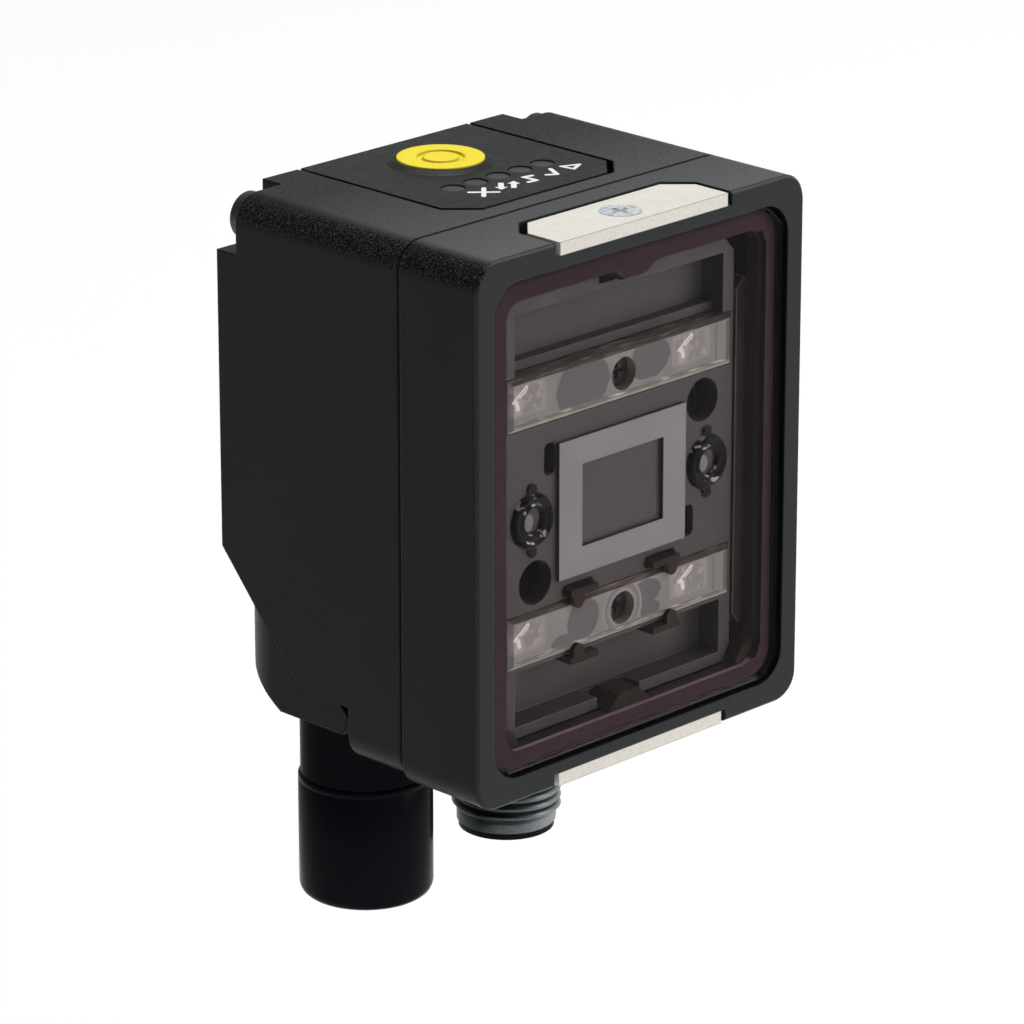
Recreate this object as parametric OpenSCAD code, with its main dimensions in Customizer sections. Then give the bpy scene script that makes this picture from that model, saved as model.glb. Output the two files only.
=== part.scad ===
// Compact machine vision sensor: a die-cast housing with a bolted front cover, a tinted
// window, a status panel with one push button, and a wedge-shaped connector block.
// The origin is the middle of the four tapped holes in the rear face. The window looks
// along -Y, +X is to the right seen from the window, and +Z is up. Millimetres.

/* [Housing] */
// Width across the housing
body_w = 48; // [42:0.5:64]
// Depth from the cover's face to the rear mounting face
body_d = 37.5; // [36:0.5:50]
// Height of the housing, without the connectors
body_h = 58; // [54:0.5:80]
// Radius of the four long edges
edge_r = 3; // [2:0.1:4]
// Wall of the castings
wall = 2.4; // [1.8:0.1:2.8]
// How far the housing's underside lies above the cover's
foot_rise = 0.7; // [0:0.1:1.5]
// Width of the seam between housing and cover
seam_gap = 0.35; // [0.2:0.05:0.6]
// Width of the two rear pockets for the cover screws
pocket_w = 6.5; // [6:0.1:7.5]
// Height of the two rear pockets
pocket_h = 6.1; // [5.8:0.1:7]
// Depth of the two rear pockets
pocket_d = 2.9; // [2:0.1:4]

/* [Rear mounting holes] */
// Height of the mounting holes' middle above the underside
mount_up = 36; // [34:0.5:40]
// Spacing of the mounting holes across
mount_dx = 30; // [24:0.5:32]
// Spacing of the mounting holes in height
mount_dz = 20; // [16:0.5:22]
// Radius of the tapped hole
mount_r = 1.65; // [1.25:0.05:2.1]
// Depth of the tapped hole
mount_depth = 5; // [4:0.5:6]
// Length of the boss that holds it, from the rear face
boss_len = 8.2; // [8:0.1:9]

/* [Front cover] */
// Depth of the cover, from its face to the seam
cover_d = 10.8; // [10:0.1:13]
// Width of the cover's face beside the window
frame_side = 2.5; // [2:0.1:4]
// Height of the cover's face above and below the window
frame_end = 2.7; // [2.5:0.1:4]
// Corner radius of the window opening
opening_r = 3.5; // [2.5:0.1:3.7]
// Chamfer round the cover's face
face_chamfer = 0.3; // [0.2:0.05:0.6]
// How far the pane lies below the cover's face
pane_inset = 0.3; // [0.1:0.05:0.6]
// Chamfer of the pane's four corners
pane_cut = 1.9; // [1.4:0.1:2.4]
// Thickness of the pane
pane_t = 1; // [0.8:0.1:1.5]
// Gap round the pane
pane_gap = 0.5; // [0.3:0.05:0.8]
// Thickness of the pane's seal
pane_seal_t = 0.6; // [0.4:0.05:0.8]
// Width of the ledge that carries the pane, at the sides
ledge_side = 2.8; // [2:0.1:3.5]
// Width of the ledge above and below
ledge_end = 2.4; // [2:0.05:3]
// Thickness of the ledge
ledge_t = 1.3; // [1:0.1:1.5]

/* [Clamps] */
// Width of a clamp plate
clamp_w = 24.5; // [18:0.1:28]
// Depth of a clamp plate
clamp_d = 7.1; // [6.5:0.1:8]
// Thickness of a clamp plate
clamp_t = 1.4; // [1:0.1:1.5]
// Chamfer of a clamp plate's two rear corners
clamp_cut = 2.6; // [1.5:0.1:3.5]
// Groove round a clamp plate
clamp_gap = 0.6; // [0.3:0.05:0.8]
// Distance of a clamp screw from the cover's face
clamp_screw_in = 3.5; // [3.3:0.1:3.8]
// Radius of a clamp screw's head
clamp_head_r = 2.15; // [1.8:0.05:2.4]

/* [Status panel] */
// Width of the panel
panel_w = 24.2; // [22:0.1:28]
// Length of the panel, from the rear face
panel_len = 23.5; // [21:0.1:24.5]
// Thickness of the panel
panel_t = 2; // [1.6:0.1:2.4]
// Chamfer of the panel's two front corners
panel_cut = 3; // [2:0.1:4]
// Groove round the panel
panel_gap = 0.5; // [0.2:0.05:0.6]
// Depth of the recess that holds the panel
panel_bed = 3.2; // [3:0.1:3.6]
// Thickness of the housing's deck under the panel
deck_t = 1.8; // [1.4:0.1:2.2]
// Radius of the push button
button_r = 4.62; // [3.6:0.01:5]
// Radial clearance of the button in its bore
button_fit = 0.08; // [0.05:0.01:0.1]
// How far the button stands above the panel at rest
button_rise = 0.5; // [0.3:0.05:0.7]
// Travel of the button
button_travel = 0.6; // [0.3:0.05:0.6]
// Distance of the button's axis from the rear face
button_in = 8.3; // [7.8:0.1:9]
// Distance of the row of lights from the rear face
lights_in = 16.3; // [15.6:0.1:17]
// Distance between two lights
light_pitch = 3.25; // [3.1:0.05:3.6]
// Radius of a light guide
light_r = 1.25; // [0.8:0.05:1.3]
// How far the row of lights lies to the right of the middle
lights_x = 0.4; // [-0.5:0.1:0.8]

/* [Optics] */
// Height of the optical axis above the underside
optics_up = 28.2; // [26:0.1:31]
// Distance of the bezel's face below the cover's face
bezel_in = 3.5; // [3.3:0.1:4]
// Width of the bezel
bezel_w = 33.8; // [33.4:0.1:34.2]
// Distance from the optical axis to the middle of a light bar
bar_off = 12.7; // [12.3:0.1:13]
// Height of a light bar
bar_h = 5.6; // [5:0.1:5.8]
// Width of a light bar
bar_w = 32.8; // [32.4:0.1:33]
// Thickness of a light bar
bar_t = 2.4; // [2:0.1:2.6]
// Distance of a lamp from the middle
lamp_x = 11.75; // [10:0.05:12.5]
// Outer width of the aperture frame
aperture_w = 18.7; // [16:0.1:18.8]
// Outer height of the aperture frame
aperture_h = 14.8; // [13:0.1:15]
// Width of the aperture
aperture_in_w = 12; // [10:0.1:13]
// Height of the aperture
aperture_in_h = 8.9; // [8:0.1:10]
// Distance of the two aiming lights from the optical axis
aimer_x = 12.95; // [12.8:0.05:13.1]
// Radius of the lens barrel
lens_r = 5.6; // [5:0.1:6]

/* [Connectors] */
// Distance between the two connectors
port_pitch = 21.3; // [20:0.1:22.5]
// Distance of the connectors' axes from the rear face
port_in = 7.3; // [7.2:0.05:7.6]
// Height of the connector block's floor above the underside
block_floor = 3.3; // [2.8:0.1:3.8]
// Height of the bay's sloping face at the rear, above the underside
slope_top = 19.7; // [19:0.1:21]
// Depth of the bay's sloping face
slope_run = 10.9; // [10.5:0.1:11.5]
// Height of the bay's ceiling above the underside
bay_ceiling = 7.4; // [7.2:0.1:7.6]
// Depth of the bay
bay_d = 18.8; // [18.2:0.1:19.2]
// Gap between the bay's slope and the block
block_gap = 0.3; // [0.2:0.05:0.6]
// Radius of the block's two upright rear edges
block_round = 7; // [4:0.1:8]
// Length of the sloping underside behind the connectors
under_run = 8; // [6:0.1:8.5]
// Rise of that underside
under_rise = 5.3; // [4:0.1:6]
// Outer radius of the round connectors' thread
thread_r = 6; // [5.9:0.05:6.1]
// Length of the threaded stretch below the block
thread_len = 20.7; // [16:0.1:24]
// Length of the smooth nose below the thread
nose_len = 1.8; // [1.3:0.1:5]
// Radius of the capped socket
socket_r = 6.95; // [6.6:0.05:7]
// Length of the capped socket below the block
socket_len = 9.9; // [9:0.1:13]
// Radius of the protective cap
cap_r = 7.2; // [7:0.05:7.4]
// Length of the protective cap
cap_len = 13.9; // [10:0.1:18]

/* [Hidden] */
$fn = 64;

// Main levels
front_y = -body_d;
seam_y = front_y + cover_d;
bottom_z = -mount_up;
top_z = bottom_z + body_h;
foot_z = bottom_z + foot_rise;
half_w = body_w / 2;
housing_front_y = seam_y + seam_gap;
slack = 0.05;
over = 1;

// Cover screws, in the corners
cover_screw_x = half_w - 3.1;
top_screw_z = top_z - 2.8;
low_screw_x = half_w - 4;
low_screw_z = bottom_z + 4;
low_seat_y = -bay_d - 1.8;
column_w = pocket_w + 1.6;
column_h = pocket_h + 1.6;
corner_boss_r = 3.9;

// Window stack, from the cover's face inwards
opening_w = body_w - 2 * frame_side;
opening_h = body_h - 2 * frame_end;
window_z = (top_z + bottom_z) / 2;
pane_y = front_y + pane_inset;
pane_back_y = pane_y + pane_t;
ledge_y = pane_back_y + pane_seal_t;
ledge_back_y = ledge_y + ledge_t;
ledge_w = opening_w - 2 * ledge_side;
ledge_h = opening_h - 2 * ledge_end;
ledge_r = 2;
ledge_z = window_z - 0.15;
carrier_seat = 0.8;
carrier_t = 1.5;
carrier_y = seam_y - carrier_t;

// Clamp screws
clamp_screw_y = front_y + clamp_screw_in;
clamp_shank_r = 1;
clamp_shank_len = 5.6;
tab_w = 6;
tab_tip_w = 3;
tab_drop = 3.9;

// Status panel, measured down from the housing's top
panel_z = top_z - panel_t;
bed_z = top_z - panel_bed;
deck_z = bed_z - deck_t;
button_y = -button_in;
button_bore_r = button_r + button_fit;
collar_r = button_bore_r + 1;
collar_h = 0.4;
flange_r = button_r + 0.75;
flange_t = 0.6;
flange_top_z = panel_z - 0.15;
stem_r = 1.5;
stem_z = bed_z - 0.4;
switch_w = 6;
plunger_r = 1.7;
plunger_hole_r = 1.8;
switch_top_z = stem_z - 1;
board_t = 1;
panel_board_z = stem_z - 5;
panel_board_w = 22;
panel_board_len = 18.6;
panel_board_in = 1.6 + wall;
panel_screw_x = panel_board_w / 2 - 1.8;
light_flange_r = light_r + 0.3;
light_top_z = top_z - 0.12;
light_foot_z = panel_board_z + board_t + 0.7;

// Optics
optics_z = bottom_z + optics_up;
bezel_y = front_y + bezel_in;
bezel_t = 1.6;
bezel_bottom_z = bottom_z + frame_end + ledge_end + 0.2;
bezel_top_z = top_z - frame_end - ledge_end + 0.2;
bezel_corner_r = 6.3;
recess_w = 30.6;
recess_d = 3;
skin = 1.2;
bar_z = [optics_z + bar_off, optics_z - bar_off];
bar_y = bezel_y - 0.5;
bar_cut = 0.5;
bar_floor_y = bezel_y + bar_t - 0.2;
clip_x = [4.1, 8.1];
clip_t = 0.7;
clip_y = [bar_y - 0.55, bezel_y + 1.5];
upper_recess = [optics_z + bar_off + bar_h / 2 + 1.1, bezel_top_z - 2.8];
rib_in = 1.6;
lower_recess = [bezel_bottom_z + 1, optics_z - bar_off - bar_h / 2 - 0.4];
light_board_y = bar_floor_y + skin;
light_board_t = 1;
rail_w = 2.1;
rail_x = bezel_w / 2 + 0.5;
rail_tip = 1.3;
aimer_r = 2.85;
post_x = 14.6;
post_z = 6.5;
glint_x = 12.35;
glint_z = 6.85;
glint_r = 2.35;
filter_y = bezel_y + 0.4;
filter_t = 0.8;
barrel_y = filter_y + filter_t + 0.5;
holder_w = 15;
holder_len = 7;
sensor_board_y = -17;
barrel_end_y = sensor_board_y - holder_len;
sensor_board_t = 1.2;
sensor_t = 1.3;
main_board_t = 1.6;
main_board_y = -boss_len - main_board_t;
pillar_r = 2.1;
board_screw_r = 1;

// Connector block and bay, as points in depth and height
slope_rise = slope_top - bay_ceiling;
slope_angle = atan2(slope_rise, slope_run);
slope_mid = [-slope_run / 2, bottom_z + (slope_top + bay_ceiling) / 2];
floor_z = bottom_z + block_floor;
block_w = body_w - 0.6;
block_back_y = -0.2;
block_front_y = -bay_d + 0.4;
block_top_gap = 0.1;
ceiling_drop = 0.75;
block_nose = [1.3, 2.1, 0.75];
port_x = port_pitch / 2;
port_y = -port_in;
stem_len = 1.8;
port_stem_r = thread_r + 0.1;
seal_t = 0.4;
port_top_z = floor_z - seal_t;
port_board_z = floor_z + stem_len;
port_board_t = 0.8;
flange_len = 1.6;
insert_r = 4.25;
liner_r = 3.85;
cup_depth = 9;
pin_circle_r = 2.8;
pin_r = 0.5;
nose_r = thread_r - 0.55;
nose_z = port_top_z - thread_len;
plug_end_z = nose_z - nose_len;
socket_end_z = port_top_z - socket_len;
cap_end_z = socket_end_z - cap_len;
link_w = 12;
link_h = 5;
link_s = -2.9;
link_y = [port_y - 1.6, port_y + 0.5];
cable_w = 9;
cable_t = 0.3;
block_screw_x = port_x + socket_r + 1.4;
block_screw_s = -4.1;
block_screw_seat = 4.2;
block_screw_r = 1.25;

// Flat shapes and directions

module rounded_rect(w, h, r) {
    square([w - 2 * r, h], center = true);
    square([w, h - 2 * r], center = true);
    for (x = [-1, 1], y = [-1, 1])
        translate([x * (w / 2 - r), y * (h / 2 - r)]) circle(r);
}

// Rectangle with its corners cut off at 45 degrees
module cut_rect(w, h, cut) {
    x = w / 2;
    y = h / 2;
    polygon([[-x, cut - y], [cut - x, -y], [x - cut, -y], [x, cut - y], [x, y - cut], [x - cut, y],
        [cut - x, y], [-x, y - cut]]);
}

// Rectangle from y = 0 to y = -len whose two far corners are cut off
module nose_plate(w, len, cut) {
    polygon([[-w / 2, 0], [w / 2, 0], [w / 2, cut - len], [w / 2 - cut, -len],
        [cut - w / 2, -len], [-w / 2, cut - len]]);
}

module along_x(x0, x1) {
    translate([x0, 0, 0]) rotate([90, 0, 90]) linear_extrude(x1 - x0) children();
}

module along_y(y0, y1) {
    translate([0, y1, 0]) rotate([90, 0, 0]) linear_extrude(y1 - y0) children();
}

module along_z(z0, z1) {
    translate([0, 0, z0]) linear_extrude(z1 - z0) children();
}

module rod_y(x, z, y0, y1, r) {
    translate([x, y1, z]) rotate([90, 0, 0]) cylinder(r = r, h = y1 - y0);
}

module rod_z(x, y, z0, z1, r) {
    translate([x, y, z0]) cylinder(r = r, h = z1 - z0);
}

// Box between two corners
module box(low, high) {
    translate(low) cube(high - low);
}

// Box that is centred across the width
module mid_box(w, y0, y1, z0, z1) {
    box([-w / 2, y0, z0], [w / 2, y1, z1]);
}

// Both sides of the middle plane
module both_sides() {
    for (side = [0, 1]) mirror([side, 0, 0]) children();
}

module at_mount_holes() {
    for (x = [-1, 1], z = [-1, 1]) translate([x * mount_dx / 2, 0, z * mount_dz / 2]) children();
}

// Outline of the body seen from the front, with its underside raised by lift
module body_outline(inset, lift) {
    translate([0, (top_z + bottom_z + lift) / 2])
        rounded_rect(body_w - 2 * inset, body_h - lift - 2 * inset, edge_r - inset);
}

// Local X across, local Y up the bay's slope and local Z out of it into the housing
module on_slope() {
    translate([0, slope_mid[0], slope_mid[1]]) rotate([slope_angle, 0, 0]) children();
}

// Cross recess of a screw head, cut along +Z from the head's top
module cross_recess(size, depth) {
    for (turn = [0, 90]) rotate([0, 0, turn])
        translate([-size / 2, -size / 8, -depth]) cube([size, size / 4, depth + over]);
}

// Pan-head screw pointing along +Y with its head's seat at y = 0
module pan_screw(head_r, head_t, shank_r, len) {
    rotate([-90, 0, 0]) difference() {
        union() {
            translate([0, 0, -head_t]) cylinder(r = head_r, h = head_t);
            cylinder(r = shank_r, h = len);
        }
        mirror([0, 0, 1]) translate([0, 0, head_t]) cross_recess(head_r * 1.1, head_t * 0.6);
    }
}

// Housing

// Side view of the hollow that takes the connector block
module bay_profile() {
    polygon([[over, bottom_z + slope_top + over * slope_rise / slope_run],
        [-slope_run, bottom_z + bay_ceiling], [-bay_d, bottom_z + bay_ceiling - ceiling_drop],
        [-bay_d, bottom_z - over], [over, bottom_z - over]]);
}

// Side view of the housing's inside, one wall clear of the bay
module cavity_profile() {
    lean = [-wall * sin(slope_angle), wall * cos(slope_angle)];
    slope = slope_rise / slope_run;
    ceiling = bottom_z + bay_ceiling + wall;
    polygon([[seam_y - over, foot_z + wall], [-bay_d - wall, foot_z + wall],
        [-bay_d - wall, ceiling],
        [lean[0] - slope_run - (lean[1] - wall) / slope, ceiling],
        [-wall, bottom_z + slope_top + lean[1] - (lean[0] + wall) * slope],
        [-wall, top_z], [seam_y - over, top_z]]);
}

module cavity_outline() {
    difference() {
        translate([-half_w + wall, foot_z]) square([body_w - 2 * wall, deck_z - foot_z]);
        for (side = [-1, 1]) {
            translate([side * half_w, top_z]) square([2 * column_w, 2 * column_h], center = true);
            translate([side * half_w, bottom_z]) square([2 * column_w, 2 * column_h], center = true);
        }
    }
}

module panel_recess() {
    w = panel_w + 2 * panel_gap;
    along_z(bed_z, top_z + over) {
        nose_plate(w, panel_len + panel_gap, panel_cut);
        translate([-w / 2, 0]) square([w, over]);
    }
}

module link_opening() {
    on_slope() translate([0, link_s, 0]) cube([link_w, link_h, 2 * wall + 2], center = true);
}

module main_housing() color("#2a2c2f") difference() {
    union() {
        difference() {
            along_y(housing_front_y, 0) body_outline(0, foot_rise);
            intersection() {
                along_y(seam_y, -wall) cavity_outline();
                along_x(-half_w, half_w) cavity_profile();
            }
        }
        at_mount_holes() rod_y(0, 0, -boss_len, -wall + slack, 3.4);
        both_sides() on_slope() translate([block_screw_x, block_screw_s, 0])
            cylinder(r = 2.8, h = wall + 2.4);
        both_sides() rod_z(panel_screw_x, button_y, panel_board_z + board_t, deck_z + slack, 1.7);
    }
    along_x(-half_w - over, half_w + over) bay_profile();
    both_sides() translate([half_w - pocket_w, -pocket_d, top_z - pocket_h])
        cube([pocket_w + over, pocket_d + over, pocket_h + over]);
    panel_recess();
    rod_z(0, button_y, deck_z - over, bed_z + over, flange_r + 0.3);
    for (i = [-2:2])
        rod_z(lights_x + i * light_pitch, -lights_in, deck_z - over, bed_z + over, light_r + slack);
    both_sides() rod_y(cover_screw_x, top_screw_z, seam_y, 0, 1.55);
    both_sides() rod_y(low_screw_x, low_screw_z, seam_y, 0, 1.3);
    both_sides() rod_y(low_screw_x, low_screw_z, low_seat_y, 0, 2.45);
    at_mount_holes() rod_y(0, 0, -mount_depth, over, mount_r);
    at_mount_holes() rod_y(0, 0, -boss_len - over, -boss_len + 2.4, board_screw_r + slack);
    both_sides() on_slope() translate([block_screw_x, block_screw_s, -over])
        cylinder(r = block_screw_r + slack, h = over + 4);
    both_sides() rod_z(panel_screw_x, button_y, panel_board_z, deck_z - 0.2, 0.8 + slack);
    link_opening();
}

// Front cover, window and clamps

// Rounded plate in the XZ plane with a chamfered front edge
module face_plate(y0, y1, cut) {
    w = body_w / 2 - edge_r;
    h = body_h / 2 - edge_r;
    translate([0, 0, window_z]) {
        for (x = [-w, w], z = [-h, h]) {
            rod_y(x, z, y0 + cut, y1, edge_r);
            translate([x, y0 + cut, z]) rotate([90, 0, 0])
                cylinder(r1 = edge_r, r2 = edge_r - cut, h = cut);
        }
        along_z(-h, h) cut_section(w + edge_r, y0, y1, cut);
        rotate([0, 90, 0]) along_z(-w, w) cut_section(h + edge_r, y0, y1, cut);
    }
}

module cut_section(half, y0, y1, cut) {
    polygon([[-half, y1], [-half, y0 + cut], [cut - half, y0], [half - cut, y0],
        [half, y0 + cut], [half, y1]]);
}

module window_outline(grow) {
    translate([0, window_z]) rounded_rect(opening_w + 2 * grow, opening_h + 2 * grow, opening_r + grow);
}

module ledge_outline(grow) {
    translate([0, ledge_z]) rounded_rect(ledge_w + 2 * grow, ledge_h + 2 * grow, ledge_r + grow);
}

// Tapered tab under a clamp screw, seen from the front and measured from the cover's top
module tab_outline(drop) {
    root = -frame_end - ledge_end;
    polygon([[-tab_w / 2, -clamp_t], [-tab_w / 2, root], [-tab_tip_w / 2, drop],
        [tab_tip_w / 2, drop], [tab_w / 2, root], [tab_w / 2, -clamp_t]]);
}

// Outline of a clamp seen from above, open towards the front, with its rear corners cut off
module clamp_outline(grow, front) {
    w = clamp_w / 2 + grow;
    rear = front_y + clamp_d + grow;
    polygon([[-w, rear - clamp_cut], [clamp_cut - w, rear], [w - clamp_cut, rear],
        [w, rear - clamp_cut], [w, front], [-w, front]]);
}

// The same thing on the cover's top and, upside down, on its underside
module top_and_bottom() {
    translate([0, 0, top_z]) children();
    translate([0, 0, bottom_z]) mirror([0, 0, 1]) children();
}

module front_cover() color("#303336") difference() {
    union() {
        difference() {
            face_plate(front_y, seam_y, face_chamfer);
            along_y(front_y - over, ledge_y) window_outline(0);
            along_y(ledge_y - over, seam_y) ledge_outline(0);
            along_y(ledge_back_y, seam_y + over) body_outline(wall, 0);
            along_y(carrier_y, seam_y + over) body_outline(wall - carrier_seat, 0);
        }
        intersection() {
            union() {
                both_sides() rod_y(cover_screw_x, top_screw_z, ledge_y, seam_y, corner_boss_r);
                both_sides() rod_y(low_screw_x, low_screw_z, ledge_y, seam_y, corner_boss_r);
            }
            along_y(front_y, seam_y) body_outline(wall / 2, 0);
        }
        top_and_bottom() along_y(ledge_y, clamp_screw_y + 2) tab_outline(-frame_end - tab_drop);
    }
    top_and_bottom() along_z(-clamp_t, over) clamp_outline(clamp_gap, front_y - over);
    top_and_bottom() rod_z(0, clamp_screw_y, -clamp_shank_len - 0.6, 0, clamp_shank_r + slack);
    both_sides() rod_y(cover_screw_x, top_screw_z, ledge_y + 1.5, seam_y + over, 1.5 + slack);
    both_sides() rod_y(low_screw_x, low_screw_z, ledge_y + 1.5, seam_y + over, 1.25 + slack);
}

module cover_gasket() color("#0c0c0d") difference() {
    along_y(seam_y, housing_front_y) body_outline(0.3, foot_rise);
    along_y(seam_y - over, seam_y + over) difference() {
        body_outline(wall, 0);
        for (side = [-1, 1], z = [top_z, bottom_z])
            translate([side * half_w, z]) square([2 * column_w, 2 * column_h], center = true);
    }
    both_sides() rod_y(cover_screw_x, top_screw_z, seam_y - over, seam_y + over, 1.6);
    both_sides() rod_y(low_screw_x, low_screw_z, seam_y - over, seam_y + over, 1.35);
}

module window_pane() color("#5a4a58", 0.5) along_y(pane_y, pane_back_y) translate([0, window_z])
    cut_rect(opening_w - 2 * pane_gap, opening_h - 2 * pane_gap, pane_cut);

module window_seal() color("#1a1219") along_y(pane_back_y, ledge_y) difference() {
    window_outline(-pane_gap - 0.3);
    difference() {
        ledge_outline(0);
        translate([0, top_z]) tab_outline(0.3 - frame_end - tab_drop);
    }
}

module clamp_plate() {
    difference() {
        along_z(-clamp_t, 0) clamp_outline(0, front_y);
        translate([0, clamp_screw_y, -0.9])
            cylinder(r1 = clamp_shank_r + 0.15, r2 = clamp_head_r + 0.1, h = 0.9);
        rod_z(0, clamp_screw_y, -clamp_t - over, 0, clamp_shank_r + 0.15);
    }
}

module top_clamp() color("#e6e1d8") translate([0, 0, top_z]) clamp_plate();

module bottom_clamp() color("#e6e1d8") translate([0, 0, bottom_z]) mirror([0, 0, 1]) clamp_plate();

module clamp_screws() color("#c9d2d6") top_and_bottom() translate([0, clamp_screw_y, 0]) difference() {
    union() {
        translate([0, 0, -0.9]) cylinder(r1 = clamp_shank_r, r2 = clamp_head_r, h = 0.9);
        translate([0, 0, -clamp_shank_len]) cylinder(r = clamp_shank_r, h = clamp_shank_len - 0.4);
    }
    cross_recess(2.2, 0.6);
}

module top_cover_screws() color("#1c1d1f") both_sides()
    translate([cover_screw_x, -pocket_d, top_screw_z]) mirror([0, 1, 0])
        pan_screw(2.5, 1.5, 1.5, -ledge_y - pocket_d - 2);

module bottom_cover_screws() color("#1c1d1f") both_sides()
    translate([low_screw_x, low_seat_y, low_screw_z]) mirror([0, 1, 0])
        pan_screw(2.25, 1.6, 1.25, low_seat_y - ledge_y - 2);

// Status panel and its button

module status_panel() color("#1f2022") difference() {
    union() {
        along_z(panel_z, top_z) nose_plate(panel_w, panel_len, panel_cut);
        translate([0, button_y, top_z]) cylinder(r1 = collar_r, r2 = collar_r - 0.7, h = collar_h);
    }
    rod_z(0, button_y, panel_z - over, top_z + over, button_bore_r);
    for (i = [-2:2])
        rod_z(lights_x + i * light_pitch, -lights_in, panel_z - over, top_z + over, light_r + slack);
}

module panel_gasket() color("#0c0c0d") along_z(bed_z, panel_z) difference() {
    nose_plate(panel_w, panel_len, panel_cut);
    translate([0, -1.2]) nose_plate(panel_w - 2.4, panel_len - 2.4, panel_cut - 0.5);
}

module push_button() color("#f7dd1e") translate([0, button_y, 0]) difference() {
    union() {
        rod_z(0, 0, flange_top_z - slack, top_z + button_rise, button_r);
        rod_z(0, 0, flange_top_z - flange_t, flange_top_z, flange_r);
        rod_z(0, 0, stem_z, flange_top_z, stem_r);
    }
    translate([0, 0, top_z + button_rise - 0.25]) difference() {
        cylinder(r = 2.5, h = over);
        translate([0, 0, -over]) cylinder(r = 1.9, h = 3 * over);
    }
}

module button_seal() color("#26282a") translate([0, button_y, 0]) along_z(bed_z, panel_z) difference() {
    circle(flange_r + 0.95);
    circle(flange_r + 0.35);
}

module switch_body() color("#3a3c3e") translate([0, button_y, 0]) difference() {
    mid_box(switch_w, -switch_w / 2, switch_w / 2, panel_board_z + board_t, switch_top_z);
    rod_z(0, 0, switch_top_z - button_travel - 0.8, switch_top_z + over, plunger_hole_r);
}

module switch_plunger() color("#c8452e") rod_z(0, button_y, switch_top_z - 0.7, stem_z, plunger_r);

module light_guides() color("#3c3e40") for (i = [-2:2]) {
    rod_z(lights_x + i * light_pitch, -lights_in, light_foot_z, light_top_z, light_r);
    rod_z(lights_x + i * light_pitch, -lights_in, bed_z, panel_z, light_flange_r);
}

module panel_board() color("#1d5a34") difference() {
    mid_box(panel_board_w, -panel_board_in - panel_board_len + wall, -panel_board_in, panel_board_z,
        panel_board_z + board_t);
    both_sides() rod_z(panel_screw_x, button_y, panel_board_z - over, panel_board_z + 3, 0.95);
}

module panel_leds() color("#e8e4c8") for (i = [-2:2])
    translate([lights_x + i * light_pitch, -lights_in, 0])
        mid_box(1.6, -0.4, 0.4, panel_board_z + board_t, light_foot_z);

module panel_board_screws() color("#b8bcc0") both_sides()
    translate([panel_screw_x, button_y, panel_board_z]) rotate([90, 0, 0])
        pan_screw(1.5, 0.9, 0.8, deck_z - panel_board_z - 0.6);

// Optics behind the window

module at_aimers() {
    for (side = [-1, 1]) translate([side * aimer_x, 0, optics_z]) children();
}

module at_glints() {
    for (side = [-1, 1]) translate([side * glint_x, 0, optics_z + side * glint_z]) children();
}

// Pocket of the bezel above or below the light bars
module bezel_recess(z, grow, front_y) {
    mid_box(recess_w + 2 * grow, front_y, bezel_y + recess_d + grow, z[0] - grow, z[1] + grow);
}

module optics_bezel() color("#4a4a4e") difference() {
    union() {
        mid_box(bezel_w, bezel_y, bezel_y + bezel_t, bezel_bottom_z, bezel_top_z);
        bezel_recess(upper_recess, skin, bezel_y);
        bezel_recess(lower_recess, skin, bezel_y);
        for (z = bar_z)
            mid_box(bezel_w, bezel_y, light_board_y, z - bar_h / 2 - 0.9, z + bar_h / 2 + 0.9);
    }
    bezel_recess(upper_recess, 0, bezel_y - over);
    bezel_recess(lower_recess, 0, bezel_y - over);
    mid_box(recess_w, bezel_y - over, bezel_y + rib_in, bar_z[0], upper_recess[0] + slack);
    for (z = bar_z) {
        mid_box(bar_w + 0.2, bezel_y - over, bar_floor_y, z - bar_h / 2 - 0.1, z + bar_h / 2 + 0.1);
        for (side = [-1, 1]) translate([side * lamp_x, 0, 0])
            mid_box(5.6, bezel_y, light_board_y + over, z - 2.2, z + 2.2);
        rod_y(0, z, bezel_y, light_board_y + over, 1.05);
    }
    mid_box(aperture_in_w + 2, bezel_y - over, bezel_y + 3, optics_z - aperture_in_h / 2 - 1,
        optics_z + aperture_in_h / 2 + 1);
    at_aimers() rod_y(0, 0, bezel_y - over, bezel_y + 3, aimer_r + 0.1);
    at_glints() rod_y(0, 0, bezel_y - over, bezel_y + 3, glint_r);
    for (side = [-1, 1]) along_y(bezel_y - over, bezel_y + 3)
        translate([side * 10.25, optics_z - side * 5.9]) rounded_rect(1.7, 3.4, 0.7);
    both_sides() along_y(bezel_y - over, clip_y[1])
        translate([(clip_x[0] + clip_x[1]) / 2, bar_z[1] + bar_h / 2 + 0.95]) rounded_rect(4.6, 1.3, 0.5);
    both_sides() rod_y(cover_screw_x, top_screw_z, bezel_y - over, seam_y, bezel_corner_r);
    both_sides() rod_y(low_screw_x, low_screw_z, bezel_y - over, seam_y, corner_boss_r + 0.25);
    top_and_bottom()
        mid_box(tab_w + 0.4, bezel_y - over, clamp_screw_y + 2.4, -frame_end - tab_drop - 0.4, 0);
}

module carrier_outline() {
    difference() {
        body_outline(wall - carrier_seat + 0.2, 0);
        for (side = [-1, 1], z = [top_z, bottom_z])
            translate([side * half_w, z])
                square([2 * column_w + 0.6, 2 * column_h + 0.6], center = true);
    }
}

// Rail beside the bezel, pointed at both ends
module rail_outline() {
    low = optics_z - 19.4;
    high = optics_z + 18.9;
    polygon([[rail_x, low + rail_tip], [rail_x + rail_w / 2, low], [rail_x + rail_w, low + rail_tip],
        [rail_x + rail_w, high - rail_tip], [rail_x + rail_w / 2, high], [rail_x, high - rail_tip]]);
}

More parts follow.
